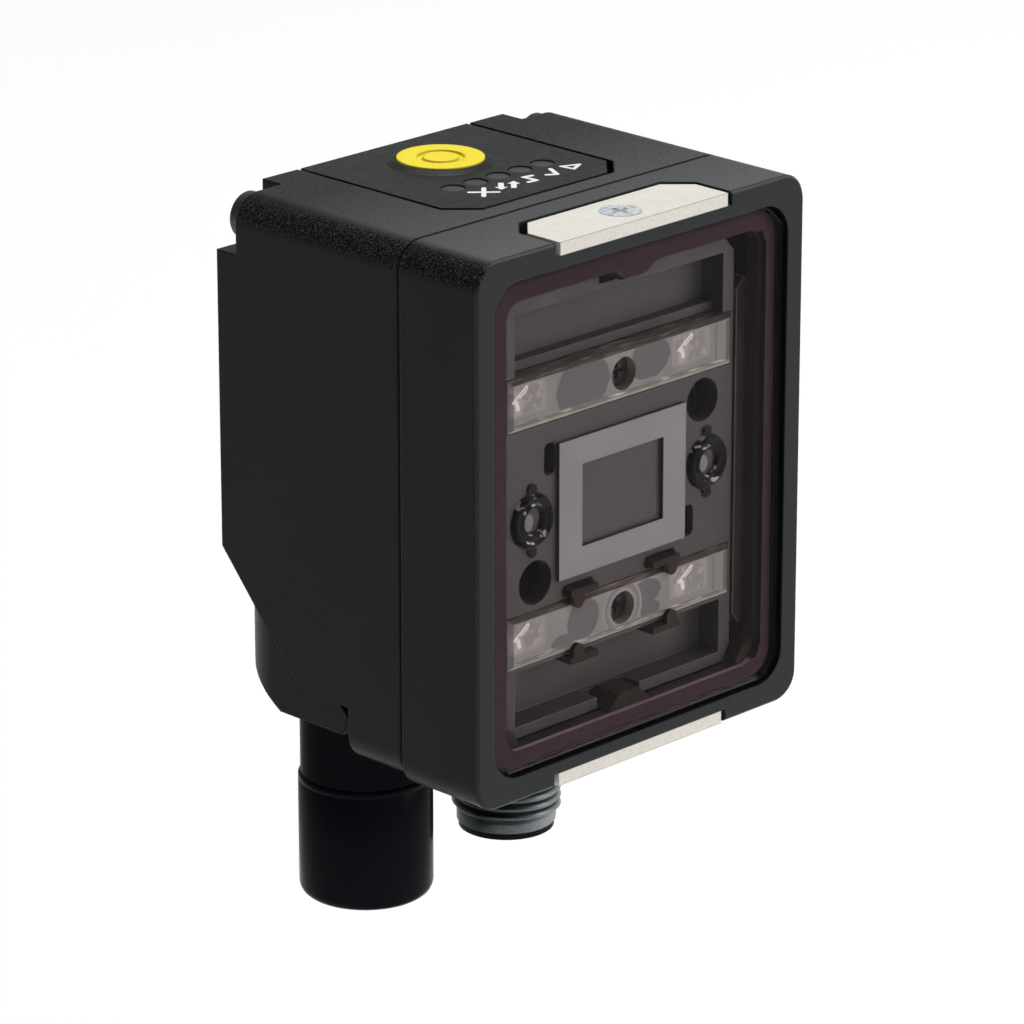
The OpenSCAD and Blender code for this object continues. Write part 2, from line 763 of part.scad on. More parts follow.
module optics_carrier() color("#3c3c40") difference() {
    union() {
        along_y(carrier_y, seam_y) carrier_outline();
        both_sides() along_y(bezel_y, carrier_y + slack) rail_outline();
        for (side = [-1, 1])
            rod_y(side * post_x, optics_z - side * post_z, bezel_y + bezel_t, carrier_y + slack, 1.8);
        for (z = bar_z) rod_y(0, z, light_board_y + light_board_t, carrier_y + slack, 2.1);
    }
    rod_y(0, optics_z, carrier_y - over, seam_y + over, lens_r + 0.1);
    for (z = bar_z) rod_y(0, z, light_board_y, seam_y + over, 0.95);
    for (z = bar_z) both_sides() box([7, carrier_y - over, z - 1.6], [13, seam_y + over, z + 1.6]);
}

// Bar with a bevel round its front
module light_bar() {
    difference() {
        intersection() {
            along_z(-bar_h / 2, bar_h / 2) cut_section(bar_w / 2, bar_y, bar_floor_y, bar_cut);
            rotate([0, 90, 0]) along_z(-bar_w / 2, bar_w / 2)
                cut_section(bar_h / 2, bar_y, bar_floor_y, bar_cut);
        }
        rod_y(0, 0, bar_y - over, bar_floor_y - 0.8, 1.75);
        rod_y(0, 0, bezel_y, bar_floor_y + over, 1.1);
    }
}

module upper_light_bar() color("#9a968a", 0.7) translate([0, 0, bar_z[0]]) light_bar();

module lower_light_bar() color("#9a968a", 0.7) translate([0, 0, bar_z[1]]) light_bar();

// Clips above and below the lower bar, each with a round nose over the bar's front
module bar_clips() color("#1e1c1d") translate([0, 0, bar_z[1]])
    both_sides() for (end = [0, 1]) mirror([0, 0, end]) {
        z = bar_h / 2 + 0.5;
        box([clip_x[0], clip_y[0], z], [clip_x[1], clip_y[1], z + clip_t]);
        along_y(clip_y[0], bar_y) {
            translate([6.2, z - 0.6]) square([1.5, 0.6 + clip_t]);
            translate([6.95, z - 0.6]) circle(0.75);
        }
    }

module light_bar_screws() color("#8a8678") for (z = bar_z)
    translate([0, bar_floor_y - 0.8, z]) pan_screw(1.65, 0.8, 0.9, carrier_y - bar_floor_y + 1.8);

module light_boards() color("#1d5a34") for (z = bar_z) difference() {
    mid_box(bezel_w - 1, light_board_y, light_board_y + light_board_t,
        z - bar_h / 2 + 0.9, z + bar_h / 2 - 0.9);
    rod_y(0, z, light_board_y - over, light_board_y + light_board_t + over, 1.05);
}

module lamp_leds() color("#f0ead0") for (z = bar_z, side = [-1, 1])
    translate([side * lamp_x, 0, z]) mid_box(3, light_board_y - 0.8, light_board_y, -1.5, 1.5);

module aperture_frame() color("#8c8990") difference() {
    mid_box(aperture_w, bezel_y - 0.5, bezel_y, optics_z - aperture_h / 2, optics_z + aperture_h / 2);
    mid_box(aperture_in_w, bezel_y - over, bezel_y + over, optics_z - aperture_in_h / 2,
        optics_z + aperture_in_h / 2);
}

module filter_glass() color("#55545a", 0.8) mid_box(aperture_in_w + 1.8, bezel_y, filter_y + filter_t,
    optics_z - aperture_in_h / 2 - 0.9, optics_z + aperture_in_h / 2 + 0.9);

module aimer_housings() color("#151516") at_aimers() difference() {
    union() {
        rod_y(0, 0, bezel_y - 0.3, bezel_y + 4.5, aimer_r);
        for (end = [-1, 1]) rod_y(0, end * (aimer_r + 0.5), bezel_y - 0.3, bezel_y, 0.6);
    }
    rod_y(0, 0, bezel_y - over, bezel_y + 0.6, 1.6);
}

module aimer_lenses() color("#7d7a80") at_aimers() rod_y(0, 0, bezel_y - 0.1, bezel_y + 0.6, 1.5);

module lens_barrel() color("#111214") difference() {
    union() {
        rod_y(0, optics_z, barrel_y, barrel_end_y, lens_r);
        rod_y(0, optics_z, barrel_end_y - slack, sensor_board_y - 3.2, lens_r - 0.8);
    }
    rod_y(0, optics_z, barrel_y - over, barrel_y + 1.2, 3.8);
    rod_y(0, optics_z, barrel_y + 1, sensor_board_y, 2.6);
}

module lens_front_glass() color("#2a3550", 0.7)
    rod_y(0, optics_z, barrel_y + 0.2, barrel_y + 1.2, 3.75);

module lens_holder() color("#1a1b1d") difference() {
    mid_box(holder_w, barrel_end_y, sensor_board_y, optics_z - holder_w / 2, optics_z + holder_w / 2);
    rod_y(0, optics_z, barrel_end_y - over, sensor_board_y - 2.5, lens_r - 0.75);
    mid_box(10, sensor_board_y - 3, sensor_board_y + over, optics_z - 5, optics_z + 5);
}

module image_sensor() color("#2f3a4a") mid_box(8.4, sensor_board_y - sensor_t, sensor_board_y,
    optics_z - 3.6, optics_z + 3.6);

// Board with holes at the four mounting holes
module drilled_board(w, y, t, low_z) {
    difference() {
        mid_box(w, y, y + t, low_z, mount_dz / 2 + 2.2);
        at_mount_holes() rod_y(0, 0, y - over, y + t + over, board_screw_r + slack);
    }
}

module sensor_board() color("#1d5a34")
    drilled_board(mount_dx + 6, sensor_board_y, sensor_board_t, optics_z - 13);

module board_pillars() color("#c4b070") at_mount_holes() difference() {
    union() {
        translate([0, main_board_y, 0]) rotate([90, 30, 0])
            cylinder(r = pillar_r, h = main_board_y - sensor_board_y - sensor_board_t, $fn = 6);
        rod_y(0, 0, main_board_y - slack, -boss_len + 2.2, board_screw_r);
    }
    rod_y(0, 0, sensor_board_y, sensor_board_y + sensor_board_t + 3.5, board_screw_r + slack);
}

module board_screws() color("#b8bcc0") at_mount_holes() translate([0, sensor_board_y, 0])
    pan_screw(1.8, 1, board_screw_r, sensor_board_t + 3);

module main_board() color("#1d5a34")
    drilled_board(body_w - 2 * wall - 2, main_board_y, main_board_t, -mount_dz / 2 - 5);

module processor() color("#2a2a2c") mid_box(13, main_board_y - 1.4, main_board_y, -8, 5);

// Connector block and connectors

module block_profile() {
    slope = slope_rise / slope_run;
    lean = ceiling_drop / (bay_d - slope_run);
    drop = block_gap / cos(slope_angle);
    bend = (drop - block_top_gap) / (slope - lean);
    ceiling = bottom_z + bay_ceiling - block_top_gap;
    nose_y = block_front_y + block_nose[0];
    polygon([[block_back_y, bottom_z + slope_top - drop + block_back_y * slope],
        [bend - slope_run, ceiling + bend * lean], [nose_y, ceiling + (nose_y + slope_run) * lean],
        [block_front_y, floor_z + block_nose[1]], [block_front_y + block_nose[2], floor_z],
        [block_back_y, floor_z]]);
}

// What the sloping underside takes off, round the two ports
module under_cut() {
    rear = block_back_y + over;
    front = block_back_y - under_run;
    difference() {
        along_x(-half_w, half_w) polygon([[front, floor_z], [front, floor_z - over],
            [rear, floor_z - over], [rear, floor_z + under_rise * (1 + over / under_run)]]);
        both_sides() rod_z(port_x, port_y, floor_z - 2 * over, floor_z + under_rise + over, socket_r);
    }
}

// The block seen from above
module block_plan() {
    w = block_w / 2 - block_round;
    y = block_back_y - block_round;
    translate([-block_w / 2, block_front_y]) square([block_w, y - block_front_y]);
    translate([-w, block_front_y]) square([2 * w, block_back_y - block_front_y]);
    for (side = [-1, 1]) translate([side * w, y]) circle(block_round);
}

// Dumbbell round the two ports, for the port board and its chamber
module port_plan(grow) {
    for (side = [-1, 1]) translate([side * port_x, port_y]) circle(4 + grow);
    translate([-port_x, port_y - 3.3 - grow]) square([port_pitch, 3.6 + 2 * grow]);
}

module connector_block() color("#202225") difference() {
    intersection() {
        along_x(-block_w / 2, block_w / 2) block_profile();
        along_z(floor_z - over, top_z) block_plan();
    }
    under_cut();
    both_sides() rod_z(port_x, port_y, floor_z - over, port_board_z, port_stem_r + slack);
    along_z(port_board_z - slack, port_board_z + port_board_t + 0.3) port_plan(0.2);
    mid_box(link_w, link_y[0], link_y[1], port_board_z, slope_mid[1] + link_h);
    both_sides() on_slope() translate([block_screw_x, block_screw_s, -12])
        cylinder(r = block_screw_r + slack, h = 14);
    both_sides() on_slope() translate([block_screw_x, block_screw_s, -block_screw_seat - 6])
        cylinder(r = 2.3, h = 6);
}

module block_gasket() color("#0c0c0d") on_slope() translate([0, link_s, -block_gap])
    linear_extrude(block_gap) difference() {
        rounded_rect(link_w + 6, link_h + 4, 1.5);
        square([link_w, link_h], center = true);
    }

module block_screws() color("#1c1d1f") both_sides() on_slope()
    translate([block_screw_x, block_screw_s, -block_screw_seat]) rotate([90, 0, 0])
        pan_screw(2.1, 1.5, block_screw_r, block_screw_seat + 3.6);

module port_board() color("#1d5a34")
    along_z(port_board_z, port_board_z + port_board_t) port_plan(0);

module port_seals() color("#0c0c0d") both_sides() translate([port_x, port_y, 0])
    along_z(port_top_z, floor_z) difference() {
        circle(socket_r - 0.15);
        circle(port_stem_r + 0.1);
    }

module at_plug() {
    translate([port_x, port_y, 0]) children();
}

module at_socket() {
    translate([-port_x, port_y, 0]) children();
}

module at_pins() {
    for (turn = [0:90:270]) rotate([0, 0, turn]) translate([pin_circle_r, 0, 0]) children();
}

module plug_body() color("#6d7475") at_plug() difference() {
    union() {
        rod_z(0, 0, port_top_z - slack, port_board_z, port_stem_r);
        rod_z(0, 0, port_top_z - flange_len, port_top_z, socket_r);
        rod_z(0, 0, nose_z, port_top_z, thread_r);
        rod_z(0, 0, plug_end_z + 0.5, nose_z + slack, nose_r);
    }
    rod_z(0, 0, plug_end_z - over, port_board_z + over, insert_r + slack);
}

module plug_insert() color("#101112") at_plug() difference() {
    union() {
        rod_z(0, 0, plug_end_z + 0.5 - slack, port_board_z, insert_r);
        rod_z(0, 0, plug_end_z, plug_end_z + 0.5, nose_r - 0.2);
    }
    difference() {
        rod_z(0, 0, plug_end_z - over, plug_end_z + cup_depth, liner_r);
        rotate([0, 0, 45]) box([liner_r - 0.45, -0.4, plug_end_z + 0.5], [insert_r, 0.4, port_board_z]);
    }
    at_pins() rod_z(0, 0, plug_end_z, port_board_z + over, pin_r + 0.02);
}

module plug_pins() color("#d8b45a")
    at_plug() at_pins() rod_z(0, 0, plug_end_z + 1.8, port_board_z, pin_r);

module socket_body() color("#131416") at_socket() difference() {
    union() {
        rod_z(0, 0, port_top_z - slack, port_board_z, port_stem_r);
        rod_z(0, 0, socket_end_z, port_top_z, socket_r);
    }
    rod_z(0, 0, socket_end_z - over, port_top_z - 1.5, 5.5);
    rod_z(0, 0, socket_end_z - over, port_board_z + over, insert_r + slack);
}

module socket_insert() color("#1b1c1e") at_socket() difference() {
    rod_z(0, 0, socket_end_z + 1, port_board_z, insert_r);
    at_pins() rod_z(0, 0, socket_end_z, socket_end_z + 7, pin_r + 0.1);
}

module protective_cap() color("#0e0f11") at_socket() difference() {
    union() {
        translate([0, 0, cap_end_z]) rotate_extrude() {
            translate([0, 1]) square([cap_r, cap_len - 1]);
            square([cap_r - 1, 2]);
            translate([cap_r - 1, 1]) circle(1);
        }
        rod_z(0, 0, socket_end_z - slack, port_top_z - 2.5, 5.4);
    }
    rod_z(0, 0, socket_end_z, port_top_z, 4.45);
}

// Ribbon between the port board and the main board, as a side view
module link_cable() color("#c98a3a") along_x(-cable_w / 2, cable_w / 2) {
    foot = [port_y - 0.7, port_board_z + port_board_t];
    knee = [foot[0], slope_mid[1] - 1.4];
    turn = [main_board_y - 1.2, -mount_dz / 2 - 6.4];
    tail = [main_board_y - cable_t, -mount_dz / 2 - 2];
    front = [foot, knee, turn, tail];
    back = [for (p = front) p + [cable_t, 0]];
    polygon([for (i = [0:7]) i < 4 ? front[i] : back[7 - i]]);
}

main_housing();
front_cover();
cover_gasket();
window_pane();
window_seal();
top_clamp();
bottom_clamp();
clamp_screws();
top_cover_screws();
bottom_cover_screws();
status_panel();
panel_gasket();
push_button();
button_seal();
switch_body();
switch_plunger();
light_guides();
panel_board();
panel_leds();
panel_board_screws();
optics_bezel();
optics_carrier();
upper_light_bar();
lower_light_bar();
bar_clips();
light_bar_screws();
light_boards();
lamp_leds();
aperture_frame();
filter_glass();
aimer_housings();
aimer_lenses();
lens_barrel();
lens_front_glass();
lens_holder();
image_sensor();
sensor_board();
board_pillars();
board_screws();
main_board();
processor();
connector_block();
block_gasket();
block_screws();
port_board();
port_seals();
plug_body();
plug_insert();
plug_pins();
socket_body();
socket_insert();
protective_cap();
link_cable();
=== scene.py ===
# A compact machine vision sensor, put together from the back to the front: castings, seals,
# screws, boards, connectors, status panel, button, optics, window and clamps, then its studio.
# Metres, in the CAD's frame. What places a mask or a print is in millimetres, and says so.
import math

import bmesh
import bpy
from mathutils import Matrix, Vector


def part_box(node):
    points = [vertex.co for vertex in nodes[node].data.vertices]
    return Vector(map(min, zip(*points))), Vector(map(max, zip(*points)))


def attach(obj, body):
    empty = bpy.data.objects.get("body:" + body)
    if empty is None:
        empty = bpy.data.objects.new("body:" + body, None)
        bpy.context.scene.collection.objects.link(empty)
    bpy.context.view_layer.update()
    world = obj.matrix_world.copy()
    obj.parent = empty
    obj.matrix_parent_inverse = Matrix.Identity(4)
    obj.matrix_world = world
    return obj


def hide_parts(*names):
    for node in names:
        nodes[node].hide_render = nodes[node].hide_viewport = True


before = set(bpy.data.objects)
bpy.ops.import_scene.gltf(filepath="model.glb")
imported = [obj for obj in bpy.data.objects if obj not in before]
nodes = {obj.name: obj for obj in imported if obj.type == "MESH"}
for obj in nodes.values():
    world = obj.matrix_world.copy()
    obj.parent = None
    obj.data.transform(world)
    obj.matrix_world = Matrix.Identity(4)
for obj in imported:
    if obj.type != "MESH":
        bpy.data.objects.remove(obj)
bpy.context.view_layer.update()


# Castings
# Housing, cover and connector block are light-alloy castings under a black powder coat. The coat
# has a fine pebbled skin. Its rounded upper edges are blackened with painted shade, with painted
# glints on small grains.
class Finish:
    """A surface finish: its material, with short ways to add texture to it."""

    def __init__(self, name, colour, roughness, **sockets):
        self.material = bpy.data.materials.new(name)
        self.material.use_nodes = True
        self.tree = self.material.node_tree
        self.shader = self.tree.nodes["Principled BSDF"]
        self.shader.inputs["Base Color"].default_value = (*colour, 1)
        self.shader.inputs["Roughness"].default_value = roughness
        for socket, value in sockets.items():
            self.shader.inputs[socket.replace("_", " ")].default_value = value
        self.normal = None

    def add(self, kind, **settings):
        node = self.tree.nodes.new("ShaderNode" + kind)
        for key, value in settings.items():
            setattr(node, key, value)
        return node

    def join(self, out, into):
        self.tree.links.new(out, into)

    def place(self, stretch=(1, 1, 1)):
        """Object coordinates, stretched."""
        where = self.add("TexCoord").outputs["Object"]
        if tuple(stretch) == (1, 1, 1):
            return where
        mapping = self.add("Mapping")
        mapping.inputs["Scale"].default_value = stretch
        self.join(where, mapping.inputs["Vector"])
        return mapping.outputs[0]

    def grain(self, size, detail=2.0, stretch=(1, 1, 1)):
        """Noise whose blobs are about size metres across."""
        noise = self.add("TexNoise")
        noise.inputs["Scale"].default_value = 1 / size
        noise.inputs["Detail"].default_value = detail
        self.join(self.place(stretch), noise.inputs["Vector"])
        return noise.outputs["Fac"]

    def blend(self, amount, under, over):
        """The colour over, laid on the colour or socket under where amount is 1.

        A Mix node's colour sockets share their names with its number sockets, so they go by place.
        """
        mix = self.add("Mix", data_type="RGBA")
        below, above, blended = mix.inputs[6], mix.inputs[7], mix.outputs[2]
        self.join(amount, mix.inputs["Factor"])
        if isinstance(under, bpy.types.NodeSocket):
            self.join(under, below)
        else:
            below.default_value = (*under, 1)
        above.default_value = (*over, 1)
        return blended

    def ramp(self, value, low, high, at=(0.3, 0.7)):
        """Goes from low to high, numbers or colours, as value runs over at; noise fills 0.3 to 0.7."""
        span = self.add("MapRange")
        span.inputs["From Min"].default_value, span.inputs["From Max"].default_value = at
        self.join(value, span.inputs["Value"])
        if isinstance(low, (int, float)):
            span.inputs["To Min"].default_value = low
            span.inputs["To Max"].default_value = high
            return span.outputs[0]
        return self.blend(span.outputs[0], low, high)

    def mask(self, value, start, full):
        """0 where value is at start, 1 where it is at full."""
        return self.ramp(value, 0.0, 1.0, (start, full))

    def times(self, a, b):
        """1 where both masks are 1."""
        both = self.add("Math", operation="MULTIPLY")
        self.join(a, both.inputs[0])
        self.join(b, both.inputs[1])
        return both.outputs[0]

    def part(self, vector, axis):
        """One component of a vector."""
        apart = self.add("SeparateXYZ")
        self.join(vector, apart.inputs[0])
        return apart.outputs[axis]

    def along(self, axis, start, full):
        """0 where the place is at start on an axis, 1 where it is at full, in millimetres."""
        return self.mask(self.part(self.place(), axis), start / 1000, full / 1000)

    def slope(self, axis, start, full, most=1.0, normal="Normal"):
        """0 where the normal's part along an axis is start, most where it is full."""
        lean = self.part(self.add("NewGeometry").outputs[normal], axis)
        return self.ramp(lean, 0.0, most, (start, full))

    def turned_to(self, axis, sign):
        """1 on facets whose normal is within about 50 degrees of an axis."""
        return self.slope(axis, 0.5 * sign, 0.6 * sign, normal="True Normal")

    def block(self, x0, x1, z0, z1, soft=0.25):
        """A soft-edged rectangle seen from the front, in millimetres."""
        sides = [self.along("X", x0, x0 + soft), self.along("X", x1, x1 - soft),
                 self.along("Z", z0, z0 + soft), self.along("Z", z1, z1 - soft)]
        return self.times(self.times(sides[0], sides[1]), self.times(sides[2], sides[3]))

    def tint(self, value, low, high, at=(0.3, 0.7)):
        self.join(self.ramp(value, low, high, at), self.shader.inputs["Base Color"])

    def polish(self, value, low, high, at=(0.3, 0.7)):
        self.join(self.ramp(value, low, high, at), self.shader.inputs["Roughness"])

    def layer(self, amount, colour):
        """Lays another colour over the base colour where amount is 1."""
        base = self.shader.inputs["Base Color"]
        under = base.links[0].from_socket if base.is_linked else tuple(base.default_value)[:3]
        self.join(self.blend(amount, under, colour), base)

    def round_edges(self, radius):
        edge = self.add("Bevel", samples=6)
        edge.inputs["Radius"].default_value = radius
        self.normal = edge.outputs[0]
        self.join(self.normal, self.shader.inputs["Normal"])

    def edges(self, start=0.99, full=0.93):
        """1 near edges, where the rounded normal leaves the flat one. It comes before relief."""
        bend = self.add("VectorMath", operation="DOT_PRODUCT")
        self.join(self.normal, bend.inputs[0])
        self.join(self.add("NewGeometry").outputs["True Normal"], bend.inputs[1])
        return self.mask(bend.outputs["Value"], start, full)

    def relief(self, height, depth):
        bump = self.add("Bump")
        bump.inputs["Distance"].default_value = depth
        self.join(height, bump.inputs["Height"])
        if self.normal is not None:
            self.join(self.normal, bump.inputs["Normal"])
        self.normal = bump.outputs[0]
        self.join(self.normal, self.shader.inputs["Normal"])

    def on(self, *names):
        for name in names:
            for slot in nodes[name].material_slots:
                slot.material = self.material


cover_front, cover_rear = (corner[1] * 1000 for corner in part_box("front_cover"))
window_opening = (-22.5, 22.5, -33.5, 19.5)
pebble = 0.00015
powder = Finish("black_powder_coat", (0.0113, 0.0129, 0.0151), 0.38, IOR=1.25, Specular_IOR_Level=0.25)
powder.round_edges(0.0003)
upper_edges = powder.times(powder.edges(0.998, 0.96), powder.turned_to("Z", 1))
powder.relief(powder.grain(pebble), 0.00002)
powder.tint(powder.grain(0.012, 4.0), (0.0104, 0.0120, 0.0142), (0.0122, 0.0138, 0.0160))
powder.polish(powder.grain(0.0004), 0.30, 0.46)
# Painted light: faces turned to the front are lighter.
powder.layer(powder.turned_to("Y", -1), (0.031, 0.0325, 0.035))
# A painted sheen makes the top lighter towards the front.
top_face = powder.times(powder.turned_to("Z", 1), powder.along("Z", 17.0, 18.0))
powder.layer(powder.times(top_face, powder.along("Y", -8, cover_front)), (0.088, 0.089, 0.089))
# Painted shade blackens the rounding between the top and the left side and the upper edges, and
# painted glints lie on small grains there.
rounding = powder.times(powder.slope("Z", 0.02, 0.3), powder.slope("X", -0.12, -0.45))
powder.layer(rounding, (0.0020, 0.0022, 0.0026))
powder.layer(upper_edges, (0.0010, 0.0011, 0.0013))
painted_glints = powder.mask(powder.grain(pebble), 0.50, 0.78)
for shaded_place in (rounding, upper_edges):
    powder.layer(powder.times(shaded_place, painted_glints), (0.095, 0.098, 0.10))
# Inside the window's opening the coat is darkened with painted shade, which is brown beside the seal
# and behind it.
opening = powder.times(powder.block(*window_opening, 0.1),
                       powder.along("Y", cover_rear - 0.1, cover_rear - 0.3))
for depth, colour in ((0.1, (0.0050, 0.0052, 0.0062)), (1.8, (0.0220, 0.0145, 0.0120))):
    deep = powder.along("Y", cover_front + depth, cover_front + depth + 0.1)
    powder.layer(powder.times(opening, deep), colour)
powder.on("main_housing", "front_cover", "connector_block")

# Seals
# Moulded black rubber in the seams: under the cover, under the panel, round the button, on the
# block's slope and above the two connectors.
rubber = Finish("black_rubber", (0.012, 0.012, 0.013), 0.75, Specular_IOR_Level=0.25)
rubber.relief(rubber.grain(0.0003), 0.00001)
rubber.polish(rubber.grain(0.002), 0.68, 0.82)
rubber.on("cover_gasket", "panel_gasket", "button_seal", "block_gasket", "port_seals")

# Screws and pillars
# Cover, block and light-bar screws are black-oxide steel. The clamps' and the boards' screws are
# bright zinc-plated steel, and the pillars between the boards are turned brass.
oxide = Finish("black_oxide_steel", (0.060, 0.060, 0.055), 0.39, Metallic=0.85)
oxide.polish(oxide.grain(0.0005), 0.30, 0.48)
oxide.relief(oxide.grain(0.0002), 0.000006)
oxide.on("top_cover_screws", "bottom_cover_screws", "block_screws", "light_bar_screws")

zinc = Finish("zinc_plated_steel", (0.80, 0.86, 0.88), 0.26, Metallic=0.7)
zinc.tint(zinc.grain(0.0006, 3.0), (0.60, 0.72, 0.75), (1.0, 1.0, 1.0), (0.40, 0.52))
zinc.polish(zinc.grain(0.0004), 0.18, 0.34)
zinc.relief(zinc.grain(0.0005), 0.00004)
zinc.on("clamp_screws", "panel_board_screws", "board_screws")

brass = Finish("turned_brass", (0.62, 0.46, 0.17), 0.29, Metallic=1.0)
brass.polish(brass.grain(0.0008, 2.0, (1, 20, 1)), 0.22, 0.36)
brass.on("board_pillars")

# Boards and chips
# Green glass-fibre boards with a glossy mask over faint copper runs, their flat black
# processor, the ribbon between them, and the mirror-flat image sensor.
mask_green = (0.012, 0.10, 0.045)
board = Finish("green_circuit_board", mask_green, 0.32)
runs = board.add("TexBrick")
runs.inputs["Scale"].default_value = 900
runs.inputs["Mortar Size"].default_value = 0.03
for socket, colour in (("Color1", mask_green), ("Color2", (0.016, 0.13, 0.055)),
                       ("Mortar", (0.05, 0.19, 0.08))):
    runs.inputs[socket].default_value = (*colour, 1)
upright = board.add("Mapping")
upright.inputs["Rotation"].default_value = (math.pi / 2, 0, 0)
board.join(board.place(), upright.inputs["Vector"])
board.join(upright.outputs[0], runs.inputs["Vector"])
board.join(runs.outputs["Color"], board.shader.inputs["Base Color"])
board.on("main_board", "sensor_board", "panel_board", "port_board", "light_boards")

chip = Finish("moulded_chip", (0.02, 0.02, 0.021), 0.51)
chip.relief(chip.grain(0.00015), 0.000006)
chip.polish(chip.grain(0.001), 0.44, 0.58)
chip.on("processor")

silicon = Finish("image_sensor_glass", (0.055, 0.085, 0.14), 0.06, Metallic=0.6)
silicon.tint(silicon.grain(0.003), (0.04, 0.07, 0.12), (0.07, 0.10, 0.16))
silicon.on("image_sensor")

ribbon = Finish("amber_ribbon", (0.47, 0.205, 0.045), 0.3)
tracks = ribbon.add("TexWave", wave_type="BANDS", bands_direction="X")
tracks.inputs["Scale"].default_value = 400
ribbon.join(ribbon.place(), tracks.inputs["Vector"])
ribbon.tint(tracks.outputs["Fac"], (0.34, 0.13, 0.03), (0.60, 0.28, 0.06))
ribbon.on("link_cable")

# Bare connector
# The right-hand connector is a nickel-plated brass shell turned from bar: an M12 thread rolled
# under its flange, then a smooth blasted nose. The black insert inside it holds four gold pins.
plug_x, plug_y = 0.01065, -0.0073
neck_top, neck_radius = -0.0313, 0.0061
flange_top, flange_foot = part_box("port_seals")[0][2], -0.0347
flange_radius, chamfer = 0.00695, 0.0003
thread_radius, thread_depth, thread_end = 0.0060, 0.00058, -0.0538
nose_radius, shell_bore = 0.00545, 0.0043
shell_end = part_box("plug_body")[0][2]


def turned(name, profile, x, y, steps=96, smooth_under=0.6):
    """Solid of revolution round a vertical axis, from a closed profile of (radius, height).

    Edges that bend by less than smooth_under, in radians, are shaded smooth.
    """
    shape = bmesh.new()
    rings = []
    for radius, height in profile:
        if radius == 0:
            rings.append([shape.verts.new((x, y, height))] * steps)
        else:
            rings.append([shape.verts.new((x + radius * math.cos(a), y + radius * math.sin(a), height))
                          for a in (2 * math.pi * i / steps for i in range(steps))])
    for low, high in zip(rings, rings[1:] + rings[:1]):
        for i in range(steps):
            corners = []
            for corner in (low[i], low[(i + 1) % steps], high[(i + 1) % steps], high[i]):
                if corner not in corners:
                    corners.append(corner)
            if len(corners) > 2:
                shape.faces.new(corners)
    bmesh.ops.recalc_face_normals(shape, faces=shape.faces)
    for face in shape.faces:
        face.smooth = True
    for edge in shape.edges:
        if len(edge.link_faces) == 2 and edge.calc_face_angle() > smooth_under:
            edge.smooth = False
    mesh = bpy.data.meshes.new(name)
    shape.to_mesh(mesh)
    shape.free()
    made = bpy.data.objects.new(name, mesh)
    bpy.context.scene.collection.objects.link(made)
    return made


def fit(made, finish, slot, *stands_for):
    """Gives a fixed piece its finish, hides the nodes that it stands for, and attaches it to the
    sensor.
    slot is not used.
    """
    if not made.data.materials:
        made.data.materials.append(finish.material)
    if stands_for:
        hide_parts(*stands_for)
    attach(made, "sensor")
    return made


nickel = Finish("blasted_nickel", (0.13, 0.146, 0.148), 0.40, Metallic=0.85)
nickel.tint(nickel.grain(0.00028, 3.0), (0.095, 0.112, 0.116), (0.165, 0.18, 0.18), (0.35, 0.68))
nickel.polish(nickel.grain(0.0003), 0.30, 0.50)
nickel.relief(nickel.grain(0.00022), 0.000006)
# The thread's grooves are painted dark, as shade. A round gradient falls from 1 on the axis to 0 at
# its reach, so it passes 0.05 only where the shell lies deeper than the crests.
reach = 0.0061
centred = nickel.add("Mapping")
centred.inputs["Scale"].default_value = (1 / reach, 1 / reach, 0)
centred.inputs["Location"].default_value = (-plug_x / reach, -plug_y / reach, 0)
nickel.join(nickel.place(), centred.inputs["Vector"])
inward = nickel.add("TexGradient", gradient_type="SPHERICAL")
nickel.join(centred.outputs[0], inward.inputs[0])
threaded = nickel.along("Z", thread_end * 1000 - 0.1, thread_end * 1000 + 0.1)
grooves = nickel.times(nickel.mask(inward.outputs["Fac"], 0.02, 0.05), threaded)
nickel.layer(grooves, (0.026, 0.036, 0.040))
# Painted shade darkens the metal away from the front, painted light lightens it on its right,
# and it is black at its mouth.
nickel.layer(nickel.slope("Y", -0.8, -0.2, 0.9), (0.016, 0.020, 0.022))
nickel.layer(nickel.slope("X", -0.5, 0.2, 0.6), (0.36, 0.38, 0.39))
nickel.layer(nickel.along("Z", shell_end * 1000 + 0.15, shell_end * 1000 + 0.05), (0.002, 0.002, 0.002))

root = thread_radius - thread_depth
shell = turned("plug_shell", [
    (shell_bore, neck_top), (neck_radius, neck_top), (neck_radius, flange_top),
    (flange_radius, flange_top), (flange_radius, flange_foot + chamfer),
    (flange_radius - chamfer, flange_foot), (root, flange_foot), (root, thread_end),
    (nose_radius, thread_end - 0.0001), (nose_radius, shell_end + chamfer),
    (nose_radius - chamfer, shell_end), (shell_bore, shell_end)], plug_x, plug_y)
fit(shell, nickel, "nickel_plating", "plug_body")


def node_tree(name, inputs):
    """Empty geometry tree with named inputs and one geometry output."""
    tree = bpy.data.node_groups.new(name, "GeometryNodeTree")
    tree.is_modifier = True
    tree.interface.new_socket("Geometry", in_out="OUTPUT", socket_type="NodeSocketGeometry")
    for label, kind in inputs:
        tree.interface.new_socket(label, in_out="INPUT", socket_type="NodeSocket" + kind)
    source = tree.nodes.new("NodeGroupInput")
    return tree, source, tree.nodes.new("NodeGroupOutput")


def put(tree, kind, links=(), **values):
    """Adds a geometry node, sets its inputs and links others to it."""
    node = tree.nodes.new(kind)
    for key, value in values.items():
        if hasattr(node, key):
            setattr(node, key, value)
        else:
            node.inputs[key.replace("_", " ")].default_value = value
    for out, into in links:
        tree.links.new(out, node.inputs[into])
    return node


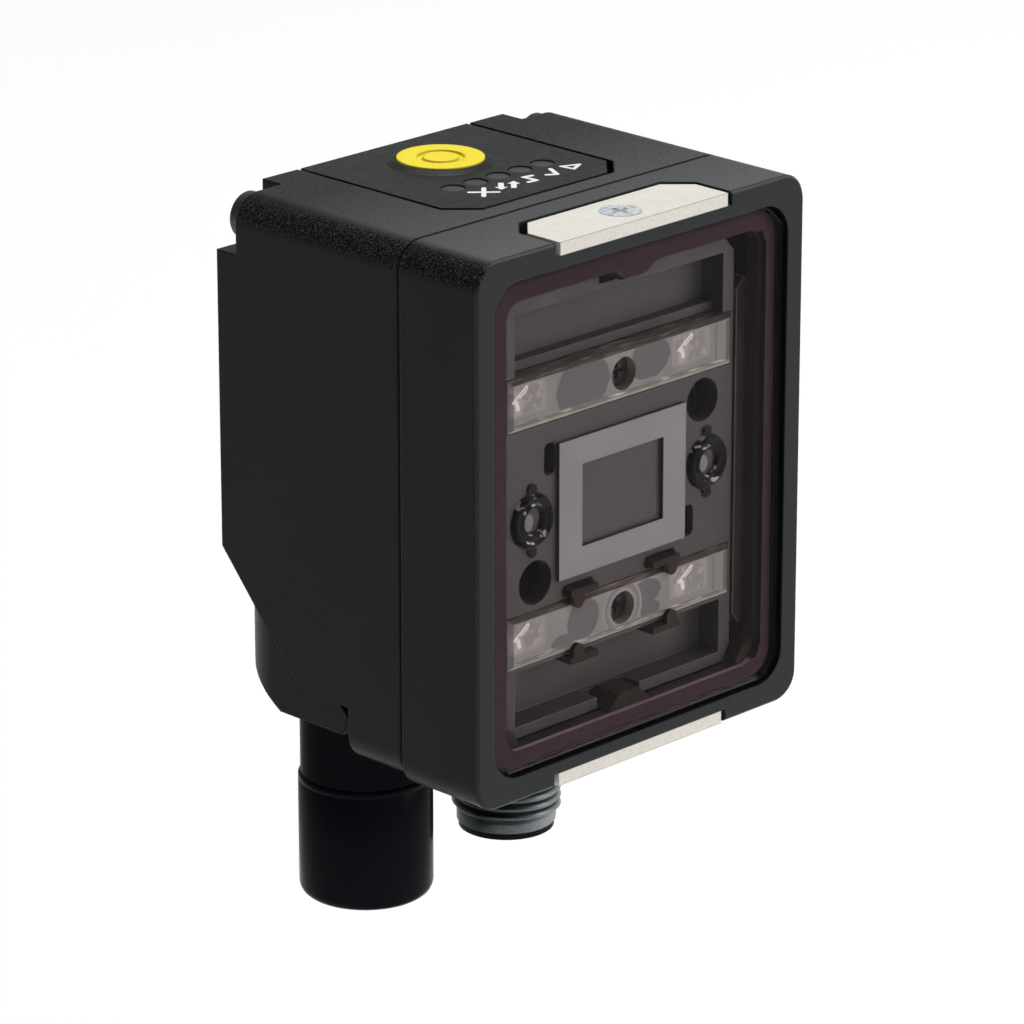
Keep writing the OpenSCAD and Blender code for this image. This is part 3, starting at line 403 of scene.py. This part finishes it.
def grow(tree, name, values):
    """Runs a geometry tree and returns its result as a plain mesh object."""
    base = bpy.data.objects.new(name + "_base", bpy.data.meshes.new(name + "_base"))
    bpy.context.scene.collection.objects.link(base)
    run = base.modifiers.new(name, "NODES")
    run.node_group = tree
    for item in tree.interface.items_tree:
        if item.in_out == "INPUT" and item.name in values:
            run[item.identifier] = values[item.name]
    bpy.context.view_layer.update()
    ready = base.evaluated_get(bpy.context.evaluated_depsgraph_get())
    mesh = bpy.data.meshes.new_from_object(ready)
    mesh.name = name
    base.modifiers.clear()
    bpy.data.objects.remove(base)
    made = bpy.data.objects.new(name, mesh)
    bpy.context.scene.collection.objects.link(made)
    return made


# One helical ridge of four-sided section makes the thread, closed at both ends.
pitch = 0.001
thread_tree, given, result = node_tree("thread", [
    ("Crest Radius", "Float"), ("Pitch", "Float"), ("Ridge", "Float"), ("Turns", "Float"),
    ("Foot", "Vector"), ("Material", "Material")])
size = put(thread_tree, "ShaderNodeMath", [
    (given.outputs["Pitch"], 0), (given.outputs["Ridge"], 1)], operation="MULTIPLY")
lead = put(thread_tree, "ShaderNodeMath", [
    (given.outputs["Crest Radius"], 0), (size.outputs[0], 1)], operation="SUBTRACT")
rise = put(thread_tree, "ShaderNodeMath", [
    (given.outputs["Pitch"], 0), (given.outputs["Turns"], 1)], operation="MULTIPLY")
helix = put(thread_tree, "GeometryNodeCurveSpiral", [
    (given.outputs["Turns"], "Rotations"), (lead.outputs[0], "Start Radius"),
    (lead.outputs[0], "End Radius"), (rise.outputs[0], "Height")], Resolution=64)
level = put(thread_tree, "GeometryNodeSetCurveNormal", [(helix.outputs[0], "Curve")], mode="Z_UP")
flank = put(thread_tree, "GeometryNodeCurvePrimitiveCircle", [
    (size.outputs[0], "Radius")], Resolution=4)
ridge = put(thread_tree, "GeometryNodeCurveToMesh", [
    (level.outputs[0], "Curve"), (flank.outputs[0], "Profile Curve")], Fill_Caps=True)
stand = put(thread_tree, "GeometryNodeTransform", [
    (ridge.outputs[0], "Geometry"), (given.outputs["Foot"], "Translation")])
whole = put(thread_tree, "GeometryNodeRealizeInstances", [(stand.outputs[0], "Geometry")])
coat = put(thread_tree, "GeometryNodeSetMaterial", [
    (whole.outputs[0], "Geometry"), (given.outputs["Material"], "Material")])
thread_tree.links.new(coat.outputs[0], result.inputs[0])
thread = grow(thread_tree, "plug_thread", {
    "Crest Radius": thread_radius, "Pitch": pitch, "Ridge": 0.56, "Turns": 18.2,
    "Foot": (plug_x, plug_y, thread_end + pitch / 2), "Material": nickel.material})
fit(thread, nickel, "nickel_plating")

insert = Finish("connector_insert", (0.008, 0.008, 0.009), 0.42, IOR=1.2, Specular_IOR_Level=0.2)
insert.relief(insert.grain(0.0003), 0.000008)
insert.polish(insert.grain(0.001), 0.34, 0.5)
insert.on("plug_insert", "socket_insert")

gold = Finish("gold_plated_pins", (0.78, 0.55, 0.20), 0.24, Metallic=1.0)
gold.polish(gold.grain(0.0004), 0.18, 0.3)
gold.on("plug_pins")

# Capped connector
# The left-hand socket is turned and anodised black. A moulded screw cap with a glossy skin and
# a fine groove under its rim closes it.
socket_shell = Finish("anodised_socket", (0.0060, 0.0072, 0.0090), 0.24, IOR=1.1,
                      Specular_IOR_Level=0.1)
socket_shell.polish(socket_shell.grain(0.0006), 0.20, 0.28)
socket_shell.relief(socket_shell.grain(0.0004), 0.000008)
socket_shell.on("socket_body")

cap_skin = Finish("glossy_cap", (0.0054, 0.0066, 0.0088), 0.23, IOR=1.15, Specular_IOR_Level=0.2)
cap_skin.relief(cap_skin.grain(0.0022, 1.0), 0.00001)
cap_skin.polish(cap_skin.grain(0.004), 0.19, 0.27)
cap_radius, cap_rim, cap_foot, cap_floor = 0.0072, -0.0431, -0.0569, -0.0430
sleeve_bore, sleeve_radius, sleeve_top = 0.00445, 0.0054, -0.0356
groove_radius = cap_radius - 0.00008
sleeve = [(sleeve_bore, sleeve_top), (sleeve_radius, sleeve_top), (sleeve_radius, cap_rim)]
rounded_rim = [(0.00695, cap_rim), (0.00710, -0.04318), (cap_radius, -0.0434)]
fine_groove = [(cap_radius, -0.0437), (groove_radius, -0.0438), (groove_radius, -0.0439),
               (cap_radius, -0.0440)]
rounded_foot = [(cap_radius, -0.0556), (0.00713, -0.0560), (0.00695, -0.0564), (0.0066, -0.0567),
                (0.0060, cap_foot)]
closed_end = [(0, cap_foot), (0, cap_floor), (sleeve_bore, cap_floor)]
cap = turned("cap", sleeve + rounded_rim + fine_groove + rounded_foot + closed_end,
             -plug_x, plug_y, 128, 0.9)
fit(cap, cap_skin, "cap_plastic", "protective_cap")

# Status panel
# A plate moulded in fine-textured dark plastic, set flush into the housing's top. Five smoked
# light guides stand in a row in it, each with a white printed symbol in front.
plate = Finish("textured_panel", (0.0095, 0.0095, 0.0092), 0.55, Specular_IOR_Level=0.30)
plate.round_edges(0.00015)
# Painted shade darkens the plate's edges.
plate.layer(plate.edges(0.998, 0.96), (0.002, 0.002, 0.002))
plate.relief(plate.grain(0.0002), 0.00002)
plate.polish(plate.grain(0.0008), 0.48, 0.62)
plate.on("status_panel")

smoked = Finish("smoked_light_guide", (0.042, 0.040, 0.038), 0.42, Specular_IOR_Level=0.30)
smoked.tint(smoked.grain(0.002), (0.038, 0.036, 0.034), (0.047, 0.044, 0.042))
smoked.round_edges(0.0002)
# Painted shade darkens the light guides' edges.
smoked.layer(smoked.edges(0.998, 0.96), (0.003, 0.003, 0.003))
smoked.on("light_guides")

lamp_chip = Finish("lamp_chip", (0.78, 0.71, 0.45), 0.4)
lamp_chip.tint(lamp_chip.grain(0.0008), (0.70, 0.62, 0.30), (0.85, 0.80, 0.60))
lamp_chip.on("panel_leds", "lamp_leds")

ink = Finish("white_print", (0.85, 0.85, 0.85), 0.6)
ink.tint(ink.grain(0.0003), (0.80, 0.80, 0.80), (0.90, 0.90, 0.90))
panel_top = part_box("main_housing")[1][2] * 1000


def stroke(*points, wide=0.5, steps=8):
    """Outlines of round-ended bars along a line of points, in millimetres."""
    bars = []
    for (ax, ay), (bx, by) in zip(points, points[1:]):
        lean = math.atan2(by - ay, bx - ax)
        turns = [lean + math.pi * (0.5 + k / steps) for k in range(steps + 1)]
        bars.append([(ax + wide / 2 * math.cos(t), ay + wide / 2 * math.sin(t)) for t in turns]
                    + [(bx - wide / 2 * math.cos(t), by - wide / 2 * math.sin(t)) for t in turns])
    return bars


def arrow(tail, tip, shaft=0.29, head=0.68, head_length=0.95):
    """Outline of a block arrow, in millimetres. shaft and head are half widths."""
    (x, y), (u, v) = tail, tip
    length = math.hypot(u - x, v - y)
    dx, dy = (u - x) / length, (v - y) / length
    neck = length - head_length
    return [[(x + dx * a - dy * b, y + dy * a + dx * b) for a, b in (
        (0, shaft), (0, -shaft), (neck, -shaft), (neck, -head), (length, 0), (neck, head),
        (neck, shaft))]]


def printed(name, shapes, finish=ink, slot="panel_plastic", thick=0.015, step=0.002):
    """Thin flat ink shapes on the panel, in millimetres, each a step higher than the last."""
    ink_shape = bmesh.new()
    for count, outline in enumerate(shapes):
        top = panel_top + thick + count * step
        rings = [[ink_shape.verts.new((x / 1000, y / 1000, z / 1000)) for x, y in outline]
                 for z in (panel_top, top)]
        ink_shape.faces.new(rings[0])
        ink_shape.faces.new(rings[1])
        for k, low in enumerate(rings[0]):
            after = (k + 1) % len(outline)
            ink_shape.faces.new((low, rings[0][after], rings[1][after], rings[1][k]))
    bmesh.ops.recalc_face_normals(ink_shape, faces=ink_shape.faces)
    mesh = bpy.data.meshes.new(name)
    ink_shape.to_mesh(mesh)
    ink_shape.free()
    made = bpy.data.objects.new(name, mesh)
    bpy.context.scene.collection.objects.link(made)
    return fit(made, finish, slot)


printed("symbol_cross", stroke((-6.1, -18.65), (-3.95, -20.65)) + stroke((-4.0, -18.6), (-6.1, -20.7)))
printed("symbol_arrows", arrow((-1.4, -18.47), (-3.1, -20.25)) + arrow((-1.78, -20.73), (0.0, -18.95)))
printed("symbol_wave", stroke((2.75, -18.85), (1.7, -18.65), (1.87, -20.4), (0.8, -20.3)))
printed("symbol_tick", stroke((4.0, -19.75), (4.95, -20.35), (5.85, -18.5)))
printed("symbol_triangle", stroke((7.3, -18.6), (9.2, -19.43), (7.55, -20.2), (7.3, -18.6), wide=0.42))

# Push button
# A yellow moulded cap with a fine ring groove in its top. Below it, hidden, sits the tact
# switch with its red plunger.
yellow = Finish("yellow_button", (0.93, 0.76, 0.010), 0.42, Specular_IOR_Level=0.3)
yellow.tint(yellow.grain(0.004), (0.91, 0.74, 0.008), (0.95, 0.78, 0.012))
yellow.round_edges(0.0005)
yellow.relief(yellow.grain(0.0003), 0.000008)
yellow.on("push_button")

switch_case = Finish("switch_case", (0.03, 0.03, 0.032), 0.46)
switch_case.polish(switch_case.grain(0.001), 0.4, 0.52)
switch_case.on("switch_body", "lens_holder")

red = Finish("red_plunger", (0.50, 0.05, 0.03), 0.42)
red.polish(red.grain(0.001), 0.35, 0.5)
red.on("switch_plunger")

# Optics bezel and carrier
# A moulded bezel of grey satin plastic carries what shows behind the window. The dark brown
# carrier stands behind and beside it, and its edges carry a painted highlight.


def spot(finish, x, z, wide, high, soft=0.2, wobble=0.0):
    """A soft oval seen from the front, in millimetres, with a wavy outline."""
    mapping = finish.add("Mapping")
    mapping.inputs["Scale"].default_value = (1000 / wide, 0, 1000 / high)
    mapping.inputs["Location"].default_value = (-x / wide, 0, -z / high)
    finish.join(finish.place(), mapping.inputs["Vector"])
    where = mapping.outputs[0]
    if wobble:
        noise = finish.add("TexNoise")
        noise.inputs["Scale"].default_value = 1.1
        finish.join(where, noise.inputs["Vector"])
        shift = finish.add("VectorMath", operation="MULTIPLY_ADD")
        finish.join(noise.outputs["Color"], shift.inputs[0])
        shift.inputs[1].default_value = (wobble, 0, wobble)
        finish.join(where, shift.inputs[2])
        back = finish.add("VectorMath", operation="SUBTRACT")
        finish.join(shift.outputs[0], back.inputs[0])
        back.inputs[1].default_value = (wobble / 2, 0, wobble / 2)
        where = back.outputs[0]
    ball = finish.add("TexGradient", gradient_type="SPHERICAL")
    finish.join(where, ball.inputs[0])
    return finish.mask(ball.outputs["Fac"], 0.0, soft)


satin = Finish("grey_satin_plastic", (0.075, 0.068, 0.065), 0.5, Specular_IOR_Level=0.3)
satin.round_edges(0.00012)
lit_lower_edges = satin.times(satin.edges(0.995, 0.96), satin.along("Z", -22.0, -22.5))
satin.relief(satin.grain(0.00025), 0.000012)
satin.tint(satin.along("Z", -30, 10), (0.070, 0.059, 0.056), (0.081, 0.077, 0.075), (0, 1))
# Painted shade: faces turned to the left, downwards and upwards are darker.
for axis, sign, colour in (("X", -1, (0.036, 0.029, 0.028)), ("Z", -1, (0.030, 0.025, 0.025)),
                           ("Z", 1, (0.046, 0.038, 0.036))):
    satin.layer(satin.turned_to(axis, sign), colour)
# Painted highlights along the edges low in the bezel.
satin.layer(lit_lower_edges, (0.19, 0.175, 0.175))
# Painted shade makes the round ports, the slots beside the aimers and the clip seats dark brown inside.
below_face = satin.along("Y", -33.9, -33.5)
round_ports = ((12.35, -0.95, 3.4, 3.4), (-12.35, -14.65, 3.4, 3.4))
side_slots = ((-10.25, -1.9, 1.6, 2.8), (10.25, -13.7, 1.6, 2.8))
clip_seats = ((6.1, -16.75, 3.4, 1.4), (-6.1, -16.75, 3.4, 1.4))
for recess in round_ports + side_slots + clip_seats:
    satin.layer(satin.times(below_face, spot(satin, *recess, 0.05)), (0.026, 0.019, 0.017))
satin.on("optics_bezel")

umber = Finish("dark_carrier_plastic", (0.043, 0.031, 0.026), 0.45, Specular_IOR_Level=0.3)
umber.round_edges(0.0002)
carrier_edges = umber.edges(0.995, 0.96)
umber.relief(umber.grain(0.00025), 0.000012)
umber.tint(umber.grain(0.008), (0.038, 0.027, 0.023), (0.048, 0.035, 0.030))
umber.layer(carrier_edges, (0.22, 0.195, 0.185))
umber.on("optics_carrier")

# Filter and its frame
# A pale square frame of moulded plastic lies on the bezel and holds a grey filter in front of
# the lens. The frame's narrow sides, which don't look to the front, are painted dark, as shade.
pale_frame = Finish("pale_aperture_frame", (0.288, 0.279, 0.288), 0.6, Specular_IOR_Level=0.3)
pale_frame.relief(pale_frame.grain(0.0002), 0.000008)
pale_frame.tint(pale_frame.grain(0.004), (0.275, 0.268, 0.276), (0.30, 0.29, 0.30))
pale_frame.layer(pale_frame.slope("Y", -0.9, -0.8, normal="True Normal"), (0.022, 0.019, 0.019))
pale_frame.on("aperture_frame")

filter_pane = Finish("grey_filter", (0.074, 0.071, 0.066), 0.3, Specular_IOR_Level=0.3)
filter_pane.tint(filter_pane.grain(0.006), (0.069, 0.067, 0.062), (0.079, 0.076, 0.070))
filter_pane.on("filter_glass")

# Aimers, lens and clips
# The two aimers are glossy black mouldings with a raised ring round a small coated lens, and the
# main lens's barrel is the same plastic. Four brown clips hold the lower light bar.
aimer_x, aimer_z = 12.95, -7.8
black_gloss = Finish("black_gloss_plastic", (0.005, 0.004, 0.004), 0.085, IOR=1.25,
                     Specular_IOR_Level=0.4)
black_gloss.relief(black_gloss.grain(0.0011, 1.0), 0.00025)
black_gloss.polish(black_gloss.grain(0.0008), 0.05, 0.12)
# Painted glints on faces turned upwards.
glints = black_gloss.mask(black_gloss.grain(0.0007, 1.0), 0.55, 0.60)
black_gloss.layer(black_gloss.times(black_gloss.turned_to("Z", 1), glints), (0.62, 0.60, 0.60))
black_gloss.on("aimer_housings", "lens_barrel")

clip_brown = Finish("dark_clip_plastic", (0.026, 0.017, 0.014), 0.16, IOR=1.2)
clip_brown.polish(clip_brown.grain(0.001), 0.1, 0.22)
clip_brown.on("bar_clips")

lens_glass = Finish("coated_lens", (0.023, 0.022, 0.022), 0.08)
lens_glass.tint(lens_glass.grain(0.0011), (0.016, 0.015, 0.015), (0.030, 0.028, 0.028))
# A painted reflection on each aimer's lens, left of its centre.
for side in (-1, 1):
    sheen = spot(lens_glass, side * aimer_x - 0.55, aimer_z - 0.1, 0.85, 1.0, 0.15, 0.9)
    lens_glass.layer(sheen, (0.20, 0.19, 0.19))
lens_glass.on("aimer_lenses", "lens_front_glass")

# The ring round each aimer's lens is turned from its section, (radius, height) in millimetres,
# which runs from the bore over an inner and an outer bead.
ring_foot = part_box("aimer_housings")[0][1]
ring_section = [(1.38, -0.02), (1.42, 0.22), (1.55, 0.34), (1.72, 0.30), (1.84, 0.05), (2.06, 0.02),
                (2.20, 0.26), (2.36, 0.42), (2.56, 0.40), (2.72, 0.22), (2.80, -0.02), (2.80, -0.05),
                (1.38, -0.05)]
for side, name in ((1, "aimer_ring_right"), (-1, "aimer_ring_left")):
    ring = turned(name, [(r / 1000, y / 1000) for r, y in ring_section], 0, 0, 64, 1.2)
    ring.data.transform(Matrix.Translation((side * aimer_x / 1000, ring_foot, aimer_z / 1000))
                        @ Matrix.Rotation(math.pi / 2, 4, "X"))
    fit(ring, black_gloss, "dark_plastic")

# Light bars
# Two bars moulded in clear plastic spread the light of the lamps behind them, and a screw holds
# each. Both show a square lens at each end and grey oval patches. Places are in millimetres.
bars = ("upper_light_bar", "lower_light_bar")
bar_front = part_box(bars[0])[0][1] * 1000
upper_z, lower_z = (sum(corner[2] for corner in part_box(bar)) / 2 * 1000 for bar in bars)
lens_xs = (-14.2, 10.0)
clear_bar = Finish("diffusing_bar", (0.245, 0.241, 0.206), 0.22)
clear_bar.tint(clear_bar.grain(0.003, 3.0), (0.215, 0.212, 0.180), (0.275, 0.270, 0.232))
# At each lens a painted glow, and over the lens square painted highlights in clouds and a gleam.
for z in (upper_z, lower_z):
    for x in lens_xs:
        halo = clear_bar.block(x - 3.1, x + 3.1, z - 1.3, z + 2.4, 0.5)
        square = clear_bar.block(x - 2.4, x + 2.4, z - 0.9, z + 2.1, 0.2)
        highlight_cloud = clear_bar.ramp(clear_bar.grain(0.0009, 3.0), 0.0, 0.8, (0.50, 0.62))
        gleam = spot(clear_bar, x - 1.2, z + 0.1, 1.1, 1.3, 0.5, 0.8)
        clear_bar.layer(halo, (0.32, 0.31, 0.29))
        clear_bar.layer(square, (0.26, 0.255, 0.225))
        clear_bar.layer(clear_bar.times(square, highlight_cloud), (0.42, 0.41, 0.36))
        clear_bar.layer(gleam, (0.42, 0.41, 0.38))
grey_patches = ((-5.9, upper_z + 0.3, 4.0, 3.0), (3.9, upper_z + 0.8, 3.1, 2.2),
                (-5.8, lower_z + 0.4, 2.4, 2.3), (3.6, lower_z + 0.8, 2.3, 1.4),
                (4.2, lower_z - 1.2, 1.5, 0.9), (-8.8, lower_z - 1.4, 1.7, 0.8))
for patch in grey_patches:
    clear_bar.layer(spot(clear_bar, *patch, 0.06, 0.5), (0.118, 0.111, 0.113))
# Three rings of painted light and shade show round the lower bar's screw hole.
for wide, colour in ((3.0, (0.29, 0.28, 0.26)), (2.7, (0.19, 0.182, 0.17)), (2.2, (0.27, 0.26, 0.235))):
    clear_bar.layer(spot(clear_bar, 0, lower_z, wide, wide, 0.05), colour)
# Painted light and shade on the bevels: brown shade above and at the right, painted light below,
# with painted glints in flecks along them.
glint_flecks = clear_bar.mask(clear_bar.grain(0.0003, 4.0, (0.12, 1, 1)), 0.50, 0.75)
upward, downward = clear_bar.turned_to("Z", 1), clear_bar.turned_to("Z", -1)
clear_bar.layer(upward, (0.060, 0.050, 0.038))
clear_bar.layer(clear_bar.times(upward, glint_flecks), (0.24, 0.20, 0.14))
clear_bar.layer(clear_bar.turned_to("X", 1), (0.10, 0.082, 0.062))
clear_bar.layer(downward, (0.58, 0.55, 0.43))
clear_bar.layer(clear_bar.times(downward, glint_flecks), (1.0, 0.98, 0.88))
# Inside the screw holes, two lines down the right-hand end and one along the foot, which carries
# painted glints in flecks.
below_front = clear_bar.along("Y", bar_front + 0.05, bar_front + 0.2)
for z in (upper_z, lower_z):
    hole = clear_bar.times(below_front, spot(clear_bar, 0, z, 2.2, 2.2, 0.05))
    end_line = clear_bar.block(15.25, 15.95, z - 2.2, z + 2.3, 0.15)
    inner_line = clear_bar.block(13.5, 14.1, z - 2.0, z + 2.2, 0.2)
    foot_line = clear_bar.block(-15.9, 15.3, z - 2.3, z - 1.7, 0.2)
    clear_bar.layer(hole, (0.26, 0.21, 0.17))
    clear_bar.layer(end_line, (0.11, 0.09, 0.066))
    clear_bar.layer(inner_line, (0.17, 0.163, 0.15))
    clear_bar.layer(foot_line, (0.155, 0.152, 0.132))
    clear_bar.layer(clear_bar.times(foot_line, glint_flecks), (0.75, 0.72, 0.60))
clear_bar.round_edges(0.0001)
clear_bar.on(*bars)

# Painted highlights, bright curls on the four lens squares, are drawn flat and stood up on the
# bars' fronts.
lens_glare = Finish("painted_lens_highlight", (0.88, 0.86, 0.80), 0.15)
lens_glare.polish(lens_glare.grain(0.0005), 0.1, 0.2)
quarter_turn = Matrix.Rotation(math.pi / 2, 4, "X")
stand_up = Matrix.Translation((0, (bar_front + panel_top) / 1000, 0)) @ quarter_turn
for name, x, z in (("lens_highlight_1", -15.0, 6.1), ("lens_highlight_2", 9.15, 6.1),
                   ("lens_highlight_3", -14.8, -19.3), ("lens_highlight_4", 9.5, -19.3)):
    streak_line = stroke((x - 1.1, z - 0.65), (x - 0.1, z + 0.05), (x + 0.9, z + 0.75), wide=0.24)
    curl_line = stroke((x + 0.9, z + 0.75), (x + 1.05, z + 0.6), (x + 0.8, z + 0.25),
                       (x - 0.1, z - 0.3), wide=0.17)
    corner_glare = stroke((x - 0.75, z - 0.55), (x - 0.5, z - 0.8), (x - 0.35, z - 1.4))
    lens_highlight = printed(name, streak_line + curl_line + corner_glare, lens_glare, "light_bar_plastic")
    lens_highlight.data.transform(stand_up)

# Window
# A pane of tinted glass lies in the cover on a purple-grey adhesive seal, which shows through it
# as a band with a dark brown inner strip at the right. Lamps shine straight through the pane.
seal = Finish("purple_seal", (0.27, 0.19, 0.235), 0.5, Specular_IOR_Level=0.3)
seal.tint(seal.grain(0.006), (0.255, 0.178, 0.222), (0.285, 0.20, 0.248))
for right, low, high in ((19.5, -29.5, 15.3), (19.2, -30.2, 16.0), (18.9, -30.7, 16.5)):
    seal.layer(seal.block(15.0, right, low, high, 0.15), (0.026, 0.017, 0.014))
seal.on("window_seal")

pane_glass = Finish("tinted_pane", (0.86, 0.82, 0.84), 0.0, Transmission_Weight=1.0, IOR=1.1,
                    Specular_IOR_Level=0.25)
pass_on = pane_glass.add("BsdfTransparent")
pass_on.inputs["Color"].default_value = (0.80, 0.76, 0.78, 1)
lamp_rays = pane_glass.add("LightPath")
either = pane_glass.add("MixShader")
pane_glass.join(lamp_rays.outputs["Is Shadow Ray"], either.inputs["Fac"])
pane_glass.join(pane_glass.shader.outputs[0], either.inputs[1])
pane_glass.join(pass_on.outputs[0], either.inputs[2])
pane_glass.join(either.outputs[0], pane_glass.tree.nodes["Material Output"].inputs["Surface"])
pane_glass.on("window_pane")

# Clamps
# Two small plates of pale blasted metal hold the cover's window frame, one above and one
# below, each with one countersunk screw.
clamp = Finish("blasted_clamp", (0.775, 0.745, 0.69), 0.5, Metallic=0.12)
clamp.round_edges(0.00018)
clamp_edges = clamp.edges()
clamp.relief(clamp.grain(0.00025), 0.00001)
clamp.tint(clamp.grain(0.0015, 3.0), (0.745, 0.715, 0.66), (0.805, 0.775, 0.72))
# A painted difference in light: the face turned to the front is warmer than the top.
clamp_face = clamp.turned_to("Y", -1)
clamp.layer(clamp_face, (0.80, 0.76, 0.69))
specks = clamp.ramp(clamp.grain(0.00035, 3.0), 0.0, 0.5, (0.48, 0.72))
clamp.layer(clamp.times(clamp_face, specks), (0.60, 0.56, 0.49))
face_edges = clamp.times(clamp_edges, clamp.along("Y", cover_front + 0.3, cover_front + 0.2))
clamp.layer(face_edges, (0.42, 0.37, 0.30))
clamp.on("top_clamp", "bottom_clamp")

# Studio
# A white table, a high soft box overhead and a lower one in front at the right. The room is pale
# at the horizon and dim above, so black plastic mirrors little. The lens is long.
camera_place = (-0.3937, -0.4074, 0.1823)
aim = Vector((0.67065, 0.66213, -0.33444)).normalized()
across = aim.cross(Vector((0, 0, 1))).normalized()
camera = bpy.data.objects.new("camera", bpy.data.cameras.new("camera"))
camera.data.lens = 197.27
camera.data.sensor_width = 36
camera.data.clip_start = 0.01
turn = Matrix((across, across.cross(aim), -aim)).transposed().to_4x4()
camera.matrix_world = Matrix.Translation(camera_place) @ turn
bpy.context.scene.collection.objects.link(camera)
bpy.context.scene.camera = camera
bpy.context.scene.view_settings.view_transform = "Standard"


def soft_box(name, place, power, size, colour):
    lamp = bpy.data.lights.new(name, "AREA")
    lamp.energy = power
    lamp.size = size
    lamp.color = colour
    lamp_object = bpy.data.objects.new(name, lamp)
    lamp_object.location = place
    lamp_object.rotation_euler = (-Vector(place)).to_track_quat("-Z", "Y").to_euler()
    bpy.context.scene.collection.objects.link(lamp_object)


soft_box("soft_box_top", (0.25, 0.25, 2.3), 49.5, 1.5, (1.0, 0.99, 0.97))
soft_box("soft_box_front", (0.75, -0.95, 0.45), 5.4, 0.7, (1.0, 1.0, 1.0))

world = bpy.data.worlds.new("studio")
bpy.context.scene.world = world
world.use_nodes = True
sky = world.node_tree
room = sky.nodes["Background"]
room.inputs["Color"].default_value = (0.93, 0.97, 1.0, 1)
ray = sky.nodes.new("ShaderNodeTexCoord")
heading = sky.nodes.new("ShaderNodeSeparateXYZ")
sky.links.new(ray.outputs["Generated"], heading.inputs[0])
strength = sky.nodes.new("ShaderNodeMath")
strength.operation = "MULTIPLY"
# The room's light falls off towards the ceiling, and towards the left wall.
for factor, axis, limits in ((0, "Z", (0.40, 0.70, 0.55, 0.10)), (1, "X", (-0.9, 0.1, 0.2, 1.0))):
    fall = sky.nodes.new("ShaderNodeMapRange")
    for socket, limit in zip(("From Min", "From Max", "To Min", "To Max"), limits):
        fall.inputs[socket].default_value = limit
    sky.links.new(heading.outputs[axis], fall.inputs["Value"])
    sky.links.new(fall.outputs[0], strength.inputs[factor])
sky.links.new(strength.outputs[0], room.inputs["Strength"])

table_half, table_z = 4.0, -0.1
table_corners = [(-table_half, -table_half, table_z), (table_half, -table_half, table_z),
                 (table_half, table_half, table_z), (-table_half, table_half, table_z)]
table_mesh = bpy.data.meshes.new("table")
table_mesh.from_pydata(table_corners, [], [(0, 1, 2, 3)])
table = bpy.data.objects.new("table", table_mesh)
bpy.context.scene.collection.objects.link(table)
table_top = Finish("white_table", (0.98, 0.98, 0.98), 0.9, Specular_IOR_Level=0.0)
table_top.tint(table_top.grain(0.4), (0.975, 0.975, 0.975), (0.985, 0.985, 0.985))
table_mesh.materials.append(table_top.material)
